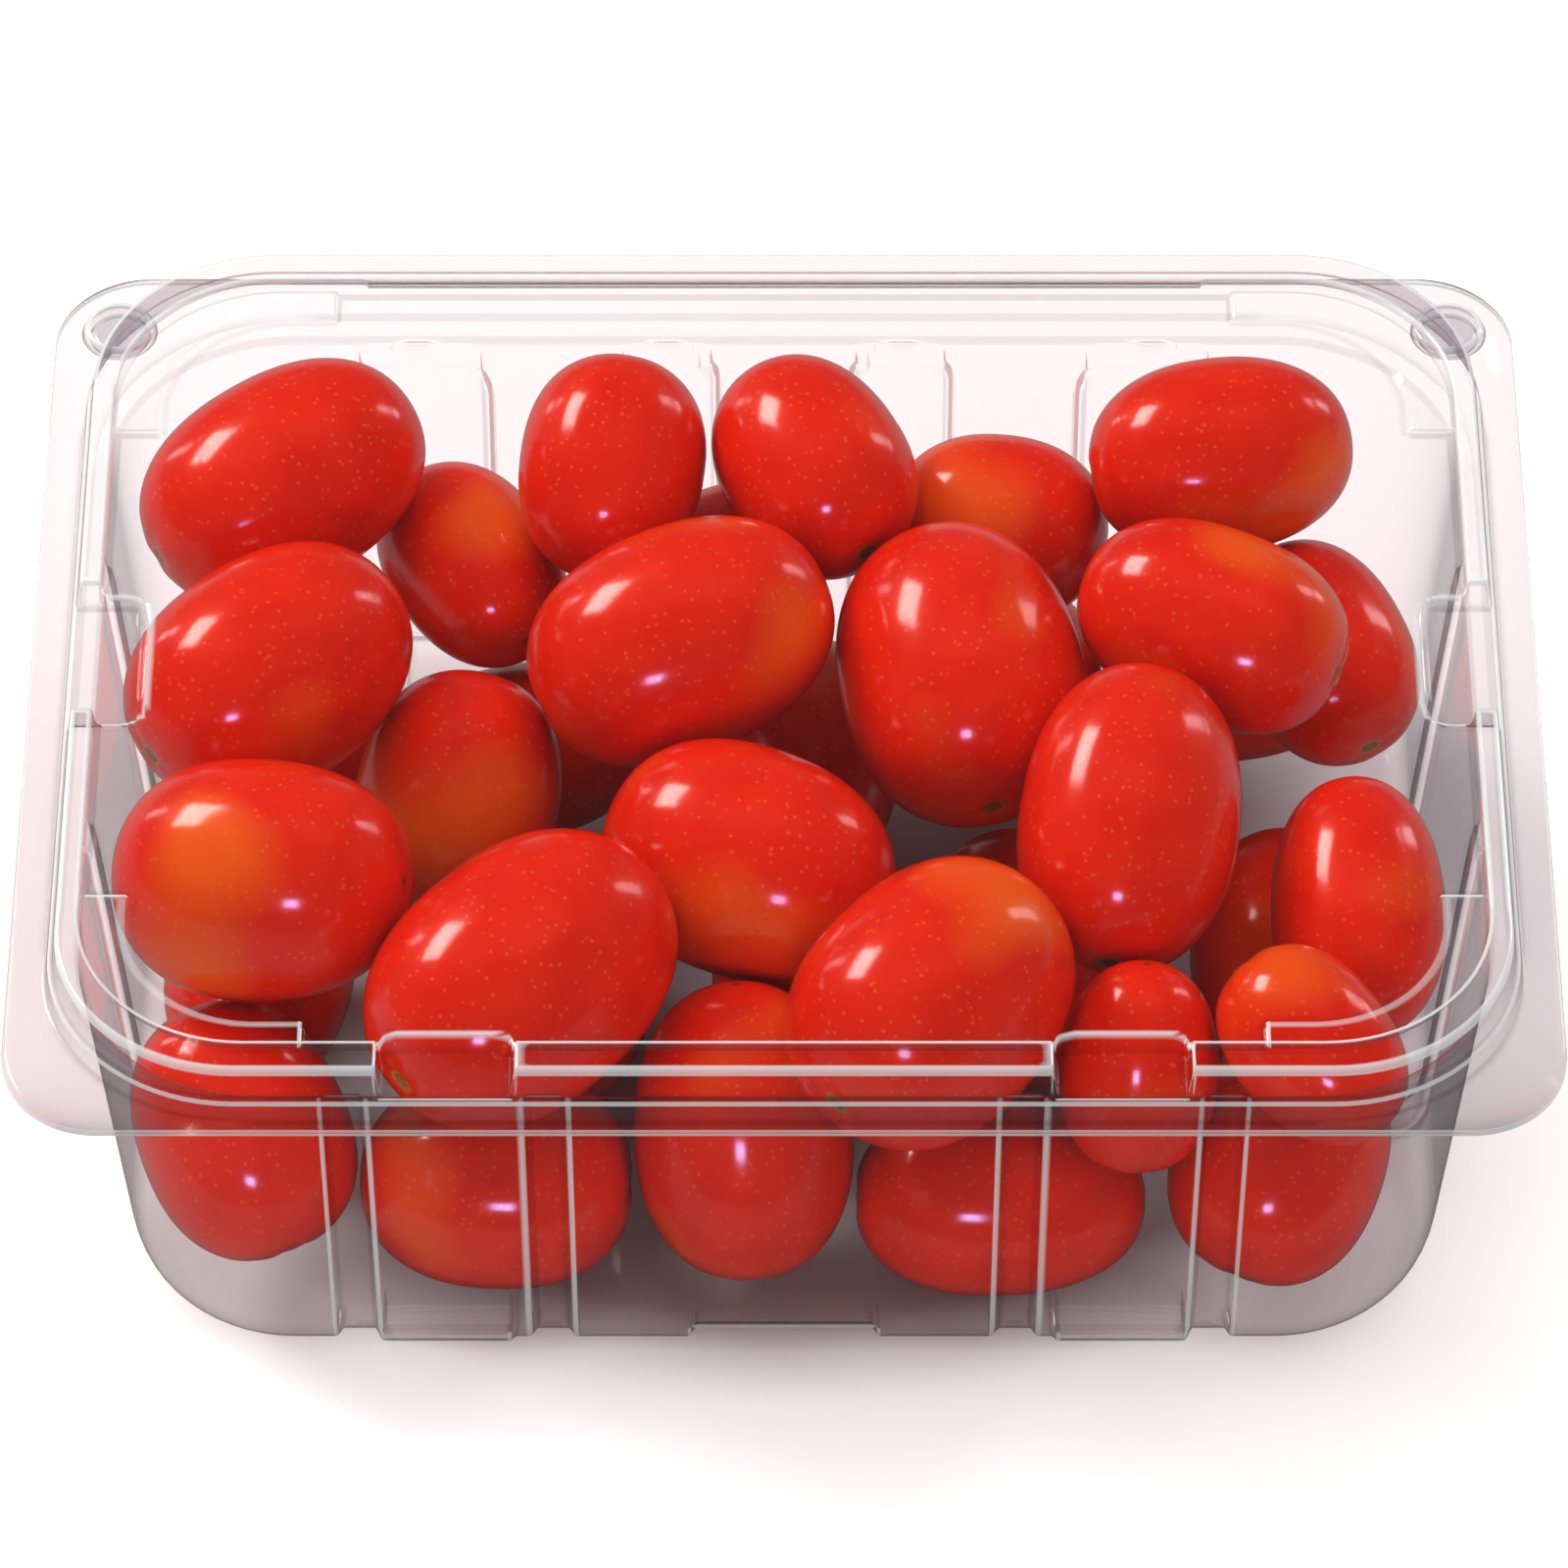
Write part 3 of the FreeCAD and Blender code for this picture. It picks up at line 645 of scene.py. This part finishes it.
@dataclass(frozen=True)
class Tub:
    """Thermoformed tub: flange, sloping shoulder, fluted walls, feet, front recess and raised base.

    The rim and the base panel are given as half length, half width and corner radius, and each rear panel as its
    place and half its width. A "half" is half a feature's width and a "top" the middle of its upper edge's fall.
    """

    sheet: Sheet = field(default_factory=Sheet)
    outline: Outline = Outline(53.0, 33.0, (7.9, 10.0, 18.7, 23.2, 27.4, 29.7, 33.9, 44.4, 48.7, 49.6),
                               (16.9, 21.1))
    rim: tuple[float, float, float] = (75.5, 55.5, 20.0)
    shoulder_reach: float = 2.0
    shoulder_drop: float = 1.9
    wall_lean: float = 3.8
    base_height: float = 0.5
    base_panel: tuple[float, float, float] = (52.0, 33.0, 14.0)
    base_panel_rise: float = 1.2
    groove_top: float = 49.2
    flute_depth: float = 0.9
    flute_half: float = 2.1
    flutes_front: tuple[float, ...] = (25.3, 46.6)
    flutes_end: tuple[float, ...] = (19.0,)
    panels_rear: tuple[tuple[float, float], ...] = ((41.7, 7.8), (13.3, 5.4))
    panel_depth: float = 0.7
    panel_top: float = 49.0
    foot_place: float = 37.0
    foot_half: float = 7.3
    foot_proud: float = 0.5
    foot_top: float = 4.45
    slot_half: float = 10.0
    slot_top: float = 4.9
    slot_depth: float = 1.1

    def section(self) -> np.ndarray:
        """Section from the flange's edge down the wall to the base, then rings that shrink to the middle.

        Returns:
            Rows of half length, half width, corner radius and height, in mm.
        """
        sheet, (rim_x, rim_y, rim_corner) = self.sheet, self.rim
        low = sheet.meeting_height - sheet.flange_reach
        out, lean = self.shoulder_reach, self.wall_lean
        shoulder = (rim_x + out, rim_y + out, rim_corner + out, low)
        foot = (rim_x - lean, rim_y - lean, rim_corner - lean / 2, self.base_height)
        under_rim = (rim_x - 0.4, rim_y - 0.4, rim_corner - 0.2, 44.4)
        stops = [(sheet.half_length, sheet.half_width, sheet.corner, low), shoulder,
                 (rim_x, rim_y, rim_corner, low - self.shoulder_drop), under_rim, foot,
                 (62.0, 42.0, 8.6, self.base_height)]
        bends = softened(stops, [0.7, 0.7, 5.0, 7.0], [7, 7, 13, 25])
        return filled(bends, 3.2)

    def relief(self, x: np.ndarray, y: np.ndarray, z: np.ndarray) -> np.ndarray:
        """Distance that each point of the skin moves out, negative for in.

        Flutes, rear panels and the front recess go in and feet come out, each a product of smooth bands of place.

        Args:
            x: places along the pack, in mm.
            y: places across it.
            z: heights.

        Returns:
            Distance along the outward normal, in mm.
        """
        below_rim = 1 - ramp(self.groove_top - 0.6, self.groove_top + 0.6, z)
        front = ramp(44.5, 46.0, -y)
        ends = ramp(64.5, 66.0, np.abs(x))
        out = np.zeros_like(x)
        for place in self.flutes_front:
            out -= self.flute_depth * band(np.abs(x), place, self.flute_half, 0.9) * front * below_rim
        for place in self.flutes_end:
            out -= self.flute_depth * band(np.abs(y), place, self.flute_half, 0.9) * ends * below_rim
        rear = ramp(43.5, 45.0, y)
        for place, half in self.panels_rear:
            crown = np.maximum(z - (self.panel_top - half), 0)
            gap = np.hypot(np.abs(x) - place, crown) - half
            out -= self.panel_depth * (1 - ramp(-0.5, 0.5, gap)) * rear
        slot = band(x, 0, self.slot_half, 1.0) * (1 - ramp(self.slot_top - 0.4, self.slot_top + 0.4, z))
        out -= self.slot_depth * slot * ramp(46.2, 47.2, -y)
        foot_top = 1 - ramp(self.foot_top - 0.35, self.foot_top + 0.35, z)
        foot = band(np.abs(x), self.foot_place, self.foot_half, 0.7) * foot_top
        out += self.foot_proud * foot * ramp(42.4, 43.2, np.abs(y))
        return out

    def build(self, finishes: list[bpy.types.Material]) -> bpy.types.Object:
        """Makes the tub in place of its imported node.

        Args:
            finishes: clear sheet, cut edge and inner face.

        Returns:
            The tub.
        """
        x, y, z = self.outline.rings(self.section())
        points = np.stack([x, y, z], axis=-1)
        points = points - facing(points) * self.relief(x, y, z)[..., None]
        shrink = np.concatenate([np.linspace(0.97, 0.70, 10), np.linspace(0.6, 0, 5)])[:, None]
        inner = points[-1][None, :, :] * np.stack([shrink, shrink, shrink * 0 + 1], axis=-1)
        points = np.concatenate([points, inner])
        raised = 1 - ramp(-0.8, 0.8, plate_gap(points[..., 0], points[..., 1], *self.base_panel))
        points[..., 2] += self.base_panel_rise * raised * (points[..., 2] < 5)
        trim_fold(points, self.sheet)
        piece = surface("tub_sheet", points[:, ::-1])
        store(piece, "bend", bending(points[:, ::-1]), "FLOAT")
        close_poles(piece)
        thicken(piece, self.sheet.thickness)
        coat(piece, finishes)
        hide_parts("tub")
        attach(piece, Body.TUB.value)
        return piece


def trim_fold(points: np.ndarray, sheet: Sheet) -> None:
    """Draws the flange's rear edge in by the fold's reach, where the fold strip joins it.

    Args:
        points: grid of the sheet, changed in place.
        sheet: sizes of the fold.
    """
    strip = band(points[..., 0], 0, sheet.fold_half, 1.0)
    points[..., 1] = np.minimum(points[..., 1], sheet.half_width - sheet.fold_reach * strip)


@dataclass(frozen=True)
class Lid:
    """Thermoformed lid: flange, two-tier bead, flat panel, corner ledges and four vent notches.

    Heights count from the meeting plane. The panel and the ledges' inner line are given as half length, half width
    and corner radius, and each vent reaches in from the flange's edge and as far out past it.
    """

    sheet: Sheet = field(default_factory=Sheet)
    outline: Outline = Outline(55.0, 37.2, (28.35, 42.45, 50.5, 47.5, 24.0), (9.0, 34.0), 18)
    bead_height: float = 7.3
    panel_height: float = 4.7
    panel: tuple[float, float, float] = (74.6, 55.6, 18.0)
    ledge: tuple[float, float, float] = (69.7, 51.6, 14.0)
    ledge_rise: float = 0.7
    ledge_start_x: float = 50.5
    ledge_start_y: float = 34.0
    vent_floor: float = 3.4
    front_vent_place: float = 35.4
    front_vent_half: float = 7.05
    side_vent_half: float = 9.0
    front_vent_reach: float = 9.0
    side_vent_reach: float = 12.5
    vent_corner: float = 2.0

    def section(self) -> np.ndarray:
        """Section from the flange's edge over the bead to the panel.

        Returns:
            Rows of half length, half width, corner radius and height, in mm.
        """
        sheet = self.sheet
        low = sheet.meeting_height
        flange, top, panel = low + sheet.flange_reach, low + self.bead_height, low + self.panel_height
        edge = (sheet.half_length, sheet.half_width, sheet.corner, flange)
        stops = [(78.5, 61.5, 21.0, flange), (78.1, 61.1, 20.6, low + 3.0), (77.6, 60.6, 20.1, low + 3.5),
                 (77.1, 60.1, 19.6, top), (74.8, 55.8, 18.2, top), (74.4, 55.4, 17.8, panel),
                 (69.4, 51.2, 13.6, panel)]
        bends = softened([edge, *stops], [0.35, 0.3, 0.3, 0.8, 0.6, 0.5], [7] * 6)
        flat = np.linspace(bends[0], bends[1], 4, endpoint=False)
        return np.concatenate([flat, filled(bends[1:], 0.5, 9)])

    def height(self, x: np.ndarray, y: np.ndarray, z: np.ndarray) -> np.ndarray:
        """Heights with ledges raised and notches cut.

        A ledge lifts the panel outside a rounded rectangle and past its start lines. A notch lowers all that
        stands above its floor, by a smooth share of the plan.

        Args:
            x: places along the pack, in mm.
            y: places across it.
            z: heights of the plain section.

        Returns:
            New heights in mm.
        """
        low = self.sheet.meeting_height
        on_panel = ramp(-0.1, 0.1, -plate_gap(x, y, *self.panel))
        outside = ramp(-0.3, 0.3, plate_gap(x, y, *self.ledge))
        corner = ramp(-0.3, 0.3, np.abs(x) - self.ledge_start_x) * ramp(-0.3, 0.3, np.abs(y) - self.ledge_start_y)
        ledge = low + self.panel_height + self.ledge_rise
        rise = on_panel * outside * corner
        z = z + rise * np.maximum(ledge - z, 0)
        front_gap = plate_gap(np.abs(x) - self.front_vent_place, y + self.sheet.half_width, self.front_vent_half,
                              self.front_vent_reach, self.vent_corner)
        side_gap = plate_gap(np.abs(x) - self.sheet.half_length, y, self.side_vent_reach, self.side_vent_half,
                             self.vent_corner)
        notch = 1 - ramp(-0.3, 0.3, np.minimum(front_gap, side_gap))
        floor = low + self.vent_floor
        return z - notch * np.maximum(z - floor, 0)

    def build(self, finishes: list[bpy.types.Material]) -> bpy.types.Object:
        """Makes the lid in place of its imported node.

        Args:
            finishes: clear sheet, cut edge and inner face.

        Returns:
            The lid.
        """
        x, y, z = self.outline.rings(self.section())
        shrink = np.array([[0.995], [0.985], [0.97], [0.94], [0.9], [0.7], [0.4], [0.0]])
        x = np.concatenate([x, shrink * x[-1:]])
        y = np.concatenate([y, shrink * y[-1:]])
        z = np.concatenate([z, 0 * shrink + z[-1:]])
        points = np.stack([x, y, self.height(x, y, z)], axis=-1)
        trim_fold(points, self.sheet)
        piece = surface("lid_sheet", points)
        store(piece, "bend", bending(points), "FLOAT")
        close_poles(piece)
        thicken(piece, self.sheet.thickness)
        coat(piece, finishes)
        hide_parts("lid")
        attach(piece, Body.LID.value)
        return piece


@dataclass(frozen=True)
class SnapDome:
    """Round snap dome at a rear corner of a flange, as a profile turned about its own upright axis."""

    name: str
    body: Body
    base: float
    rise: float
    radius: float
    place: tuple[float, float] = (75.3, 53.9)

    def build(self, side: int, finishes: list[bpy.types.Material]) -> bpy.types.Object:
        """Makes one dome.

        Args:
            side: -1 for the left corner, 1 for the right.
            finishes: clear sheet, cut edge and inner face.

        Returns:
            The dome.
        """
        stops = [(0, self.radius, 0, 0.02), (0, self.radius - 0.5, 0, self.rise), (0, 0.0, 0, self.rise)]
        profile = softened(stops, [0.6], [9])
        turn = np.linspace(0, 2 * math.pi, 48, endpoint=False)[None, :]
        out = profile[:, 1:2]
        x = side * self.place[0] + out * np.cos(turn)
        y = self.place[1] + out * np.sin(turn)
        z = self.base + profile[:, 3:4] + 0 * turn
        name = self.name + ("_right" if side > 0 else "_left")
        points = np.stack([x, y, z], axis=-1)
        piece = surface(name, points)
        store(piece, "bend", bending(points), "FLOAT")
        close_poles(piece)
        thicken(piece, 0.4)
        coat(piece, finishes)
        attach(piece, self.body.value)
        return piece


@dataclass(frozen=True)
class FoldStrip:
    """Narrow strip of the same sheet that folds between the two flanges at the rear."""

    sheet: Sheet = field(default_factory=Sheet)

    def build(self, finish: bpy.types.Material) -> bpy.types.Object:
        """Makes the strip as half a tube carried along the rear edge, closed along its flat side.

        Args:
            finish: clear sheet.

        Returns:
            The strip, a half tube between the tub's and lid's flanges, which rides on the tub.
        """
        reach = self.sheet.fold_reach
        outer = np.linspace(-math.pi / 2, math.pi / 2, 13)
        inner = outer[::-1]
        radii = np.concatenate([np.full(13, reach), np.full(13, reach * 0.55)])
        turn = np.concatenate([outer, inner])[None, :]
        along = np.linspace(-self.sheet.fold_half, self.sheet.fold_half, 60)[:, None]
        x = along + 0 * turn
        y = self.sheet.half_width - reach + radii * np.cos(turn) + 0 * along
        z = self.sheet.meeting_height + radii * np.sin(turn) + 0 * along
        points = np.stack([x, y, z], axis=-1)[:, ::-1]
        piece = surface("fold_strip", points)
        # every bend of the fold counts as a crown at 0.3 strength: a faint painted highlight line along it, no
        # painted shade
        store(piece, "bend", 0.3 * np.abs(bending(points)), "FLOAT")
        piece.data.materials.append(finish)
        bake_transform(piece)
        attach(piece, Body.TUB.value)
        return piece


# Tomatoes


@dataclass(frozen=True)
class Tomato:
    """One baby plum tomato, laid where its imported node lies.

    The skin is a superellipse of exponent 2.25 turned about the stem axis, a little slimmer between its seed
    chambers, with a dished stem scar.
    """

    node: str
    ripeness: float
    stem_share: float = 0.47
    fullness: float = 2.25
    scar_radius: float = 1.5
    scar_depth: float = 0.5
    slimming: float = 0.010         # share of the radius lost between the seed chambers
    waist: float = 0.008            # share lost along the length
    pleat_depth: float = 0.16
    pleat_place: float = 3.2        # from the axis to the middle of the pleats round the stem
    pattern_step: float = 41.3      # moves each tomato to its own part of the skin's pattern
    axis_reach: float = 0.25        # points this near the axis show which end is dished
    rows: int = 60
    columns: int = 84

    def pose(self) -> tuple[np.ndarray, np.ndarray, float, float]:
        """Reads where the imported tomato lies.

        Volume moments of its closed mesh give the middle and the long axis, and the dished end is the stem.

        Returns:
            Middle of the girth in mm, unit axis to the stem, length and radius in mm.
        """
        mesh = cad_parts[self.node].data
        mesh.calc_loop_triangles()
        corners = np.empty(len(mesh.loop_triangles) * 3, np.int32)
        mesh.loop_triangles.foreach_get("vertices", corners)
        places = np.empty(len(mesh.vertices) * 3)
        mesh.vertices.foreach_get("co", places)
        places = places.reshape(-1, 3) / MM
        a, b, c = (places[corners.reshape(-1, 3)[:, i]] for i in range(3))
        volume = np.einsum("ij,ij->i", a, np.cross(b, c)) / 6
        centre = ((a + b + c) / 4 * volume[:, None]).sum(0) / volume.sum()
        mids = [(a + b) / 2 - centre, (b + c) / 2 - centre, (c + a) / 2 - centre]
        spread = sum(np.einsum("i,ij,ik->jk", volume, m, m) for m in mids)
        axis = np.linalg.eigh(spread)[1][:, -1]
        offset = places - centre
        height = offset @ axis
        out = np.linalg.norm(offset - height[:, None] * axis, axis=1)
        core = out < self.axis_reach
        upper_dish = height.max() - height[core & (height > 0)].max()
        lower_dish = height[core & (height < 0)].min() - height.min()
        if lower_dish > upper_dish:
            axis, height = -axis, -height
        radius = out.max()
        cut = (1 - (self.scar_radius / radius) ** self.fullness) ** (1 / self.fullness)
        length = (height.max() - height.min()) / (1 - self.stem_share + self.stem_share * cut)
        middle = centre + axis * (height.min() + (1 - self.stem_share) * length)
        return middle, axis, length, radius

    def build(self, number: int, finish: bpy.types.Material) -> bpy.types.Object:
        """Makes the tomato.

        Args:
            number: its place in the crop, which varies its shape and pattern.
            finish: tomato skin.

        Returns:
            The tomato.
        """
        middle, axis, length, radius = self.pose()
        share = np.linspace(0, math.pi, self.rows)[:, None]
        turn = np.linspace(0, 2 * math.pi, self.columns, endpoint=False)[None, :]
        power = 2 / self.fullness
        half = np.where(share < math.pi / 2, self.stem_share, 1 - self.stem_share) * length
        up = half * np.sign(np.cos(share)) * np.abs(np.cos(share)) ** power + 0 * turn
        out = radius * np.maximum(np.sin(share), 0) ** power + 0 * turn
        phase = number * 1.7
        chambers = 2 + number % 2
        slim = self.slimming * (1 - np.cos(chambers * turn + phase)) * np.sin(share) ** 2
        waist = self.waist * (1 - np.cos(2 * share + phase)) * np.sin(share)
        out = out * (1 - slim - waist)
        near = np.exp(-(out / (1.25 * self.scar_radius)) ** 2) * (share < 1.2)
        ring = np.exp(-((out - self.pleat_place) / 1.6) ** 2) * (share < 1.2)
        pleat = ring * (0.5 + 0.5 * np.cos(5 * turn + phase))
        up = up - self.scar_depth * near - self.pleat_depth * pleat
        own = np.stack([out * np.cos(turn), out * np.sin(turn), up], axis=-1)
        side = np.cross(axis, [0.0, 0.0, 1.0] if abs(axis[2]) < 0.9 else [1.0, 0.0, 0.0])
        side /= np.linalg.norm(side)
        points = middle + own @ np.stack([side, np.cross(axis, side), axis])
        piece = surface(self.node + "_skin", points[:, ::-1])
        stem = (share < 1.2) * ramp(-1.9, -0.5, -out)
        tip = (share > 2.5) * ramp(-0.75, -0.35, -out)
        store(piece, "own_place", own[:, ::-1] + number * self.pattern_step, "FLOAT_VECTOR")
        store(piece, "own_ripeness", np.full(own.shape[:2], self.ripeness), "FLOAT")
        store(piece, "own_scar", stem[:, ::-1], "FLOAT")
        store(piece, "own_point", tip[:, ::-1], "FLOAT")
        close_poles(piece)
        piece.data.materials.append(finish)
        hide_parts(self.node)
        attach(piece, Body.TUB.value)
        return piece


# Studio


@dataclass(frozen=True)
class Lamp:
    """Soft rectangular lamp that faces the pack, in metres and watts.

    One that isn't mirrored lights the pack and leaves no reflection in it.
    """

    name: str
    place: tuple[float, float, float]
    size: tuple[float, float]
    power: float
    colour: str
    mirrored: bool = True

    def build(self) -> bpy.types.Object:
        """Hangs the lamp.

        Returns:
            The lamp.
        """
        data = bpy.data.lights.new(self.name, "AREA")
        data.shape = "RECTANGLE"
        data.size, data.size_y = self.size
        data.energy = self.power
        data.color = linear(self.colour)[:3]
        light = bpy.data.objects.new(self.name, data)
        light.location = self.place
        light.rotation_euler = (-Vector(self.place)).to_track_quat("-Z", "Y").to_euler()
        light.visible_glossy = self.mirrored
        bpy.context.scene.collection.objects.link(light)
        return light


@dataclass(frozen=True)
class Studio:
    """White table, soft lamps and the camera of the photograph."""

    camera_place: tuple[float, float, float] = (0.0, -0.6384, 0.76046)
    camera_target: tuple[float, float, float] = (0.0, 0.00558, 0.030)
    lens: float = 200.2
    lamps: tuple[Lamp, ...] = (
        Lamp("Key", (-0.78, 0.55, 0.85), (0.46, 0.34), 9.5, "#FFF8EE"),
        Lamp("Overhead", (0.0, 0.15, 1.20), (1.3, 0.50), 7.0, "#FFFFFF", mirrored=False),
        Lamp("Right", (0.95, 0.75, 0.40), (0.16, 0.55), 2.0, "#FFF4F4"),
        Lamp("Left", (-1.0, 0.85, 0.30), (0.10, 0.45), 0.9, "#FFFFFF"))
    table_half: float = 3.0
    fruit_lamp: Lamp = Lamp("Front", (-0.06, -1.02, 0.48), (0.17, 0.13), 3.0, "#C9BCFF")

    def camera(self) -> None:
        """Sets the camera at the photograph's viewing angle."""
        data = bpy.data.cameras.new("Camera")
        data.lens = self.lens
        data.sensor_width = 36.0
        data.clip_start = 0.01
        eye = bpy.data.objects.new("Camera", data)
        eye.location = self.camera_place
        look = Vector(self.camera_target) - Vector(self.camera_place)
        eye.rotation_euler = look.to_track_quat("-Z", "Y").to_euler()
        bpy.context.scene.collection.objects.link(eye)
        bpy.context.scene.camera = eye

    def floor(self) -> None:
        """Lays the white table, which keeps the pack's shadow and is white to the camera.

        Its emission, painted light for camera rays and rays through the sheet alone, is nil inside an ellipse in
        the pack's base and rises past it, and again far out, so that the table seen between the tomatoes keeps
        only its lamp-lit shade and shows darker than the painted-bright table round it. Reflections see it a
        darker grey, a painted dimming of its reflection.
        """
        half = self.table_half
        mesh = bpy.data.meshes.new("Table")
        corners = [(-half, -half, 0), (half, -half, 0), (half, half, 0), (-half, half, 0)]
        mesh.from_pydata(corners, [], [(0, 1, 2, 3)])
        table = bpy.data.objects.new("Table", mesh)
        bpy.context.scene.collection.objects.link(table)
        material, tree = new_tree("white table")
        path = add(tree, "ShaderNodeLightPath")
        # painted dimming of reflections: glossy rays see the table a darker grey than it is
        tone = add(tree, "ShaderNodeMix", {0: path.outputs["Is Glossy Ray"], 6: linear("#EDEDED"),
                                           7: linear("#9C9C9C")}, data_type="RGBA")
        paint = add(tree, "ShaderNodeBsdfDiffuse", {"Color": tone.outputs[2]})
        place = add(tree, "ShaderNodeTexCoord").outputs["Object"]
        # painted light: the table's emission is nil inside this ellipse under the pack and rises past it, so the
        # table there shows darker
        ellipse = (1 / 0.070, 1 / 0.052, 0.0)
        scaled = add(tree, "ShaderNodeVectorMath", {0: place, 1: ellipse}, operation="MULTIPLY")
        reach = add(tree, "ShaderNodeVectorMath", {0: scaled.outputs[0]}, operation="LENGTH")
        strength = add(tree, "ShaderNodeMapRange", {"Value": reach.outputs["Value"], "From Min": 0.88,
                                                    "From Max": 1.12, "To Max": 0.30})
        # painted light: more emission far out, whiter towards the horizon
        far = add(tree, "ShaderNodeMapRange", {"Value": reach.outputs["Value"], "From Min": 5.0, "From Max": 20.0,
                                               "To Max": 0.7})
        painted_emission_strength = add(tree, "ShaderNodeMath", {0: strength.outputs[0], 1: far.outputs[0]}, operation="ADD")
        painted_emission = add(tree, "ShaderNodeEmission", {"Color": (1, 1, 1, 1), "Strength": painted_emission_strength.outputs[0]})
        lit = add(tree, "ShaderNodeAddShader", {0: paint.outputs[0], 1: painted_emission.outputs[0]})
        eye = add(tree, "ShaderNodeMath", {0: path.outputs["Is Camera Ray"],
                                           1: path.outputs["Is Transmission Ray"]}, operation="MAXIMUM")
        seen = add(tree, "ShaderNodeMixShader", {0: eye.outputs[0], 1: paint.outputs[0], 2: lit.outputs[0]})
        add(tree, "ShaderNodeOutputMaterial", {"Surface": seen.outputs[0]})
        table.data.materials.append(material)

    def air(self) -> None:
        """Fills the room with soft white light, and shows white behind the table."""
        world = bpy.data.worlds.new("Room")
        bpy.context.scene.world = world
        world.use_nodes = True
        tree = world.node_tree
        tree.nodes.clear()
        path = add(tree, "ShaderNodeLightPath")
        gloss = add(tree, "ShaderNodeMapRange", {"Value": path.outputs["Is Glossy Ray"], "To Min": 0.6,
                                                 "To Max": 0.10})
        strength = add(tree, "ShaderNodeMix", {0: path.outputs["Is Camera Ray"], 2: gloss.outputs[0], 3: 1.0})
        light = add(tree, "ShaderNodeBackground", {"Color": linear("#FFFDFB"), "Strength": strength.outputs[0]})
        add(tree, "ShaderNodeOutputWorld", {"Surface": light.outputs[0]})

    def build(self, fruit: list[bpy.types.Object]) -> None:
        """Sets up camera, table, lamps and room.

        The front lamp gives the tomatoes their low highlights and lights them alone, so that the flat lid doesn't
        mirror it.

        Args:
            fruit: the tomatoes.
        """
        self.camera()
        self.floor()
        self.air()
        for lamp in self.lamps:
            lamp.build()
        group = bpy.data.collections.new("Lit by the front lamp")
        for piece in fruit:
            group.objects.link(piece)
        self.fruit_lamp.build().light_linking.receiver_collection = group


LATE_RIPENERS = {3: 0.48, 5: 0.50, 13: 0.52, 17: 0.50, 18: 0.46, 20: 0.52}


def ripeness(number: int) -> float:
    """Share of a tomato that is fully red: most are, and some keep orange patches.

    Args:
        number: the tomato's place in the crop.

    Returns:
        Threshold for the patch noise, higher for riper.
    """
    return LATE_RIPENERS.get(number, 0.60 + 0.03 * math.sin(number * 2.1))


def main() -> None:
    """Builds the pack's pieces in order and sets the studio."""
    logging.basicConfig(level=logging.INFO, format="%(message)s")
    scene = bpy.context.scene
    scene.view_settings.view_transform = "Standard"
    scene.cycles.transparent_max_bounces = 16
    scene.cycles.max_bounces = 4
    scene.cycles.diffuse_bounces = 2
    scene.cycles.glossy_bounces = 2
    scene.cycles.caustics_reflective = False
    finishes = [ClearSheet().material(), CutEdge().material(), InnerFace().material()]
    skin = TomatoSkin().material()
    made = [Tub().build(finishes), Lid().build(finishes), FoldStrip().build(finishes[0])]
    lid_dome = SnapDome("lid_snap_dome", Body.LID, 52.5, 1.2, 4.3)
    tub_dome = SnapDome("tub_snap_dome", Body.TUB, 51.96, 0.85, 3.45)
    for dome in (lid_dome, tub_dome):
        made += [dome.build(side, finishes) for side in (-1, 1)]
    names = sorted(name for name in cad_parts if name.startswith("tomato"))
    for number, name in enumerate(names, 1):
        made.append(Tomato(name, ripeness(number)).build(number, skin))
    Studio().build(made[-len(names):])
    for piece in made:
        log.info("%s: %d faces", piece.name, len(piece.data.polygons))


if __name__ == "__main__":
    main()
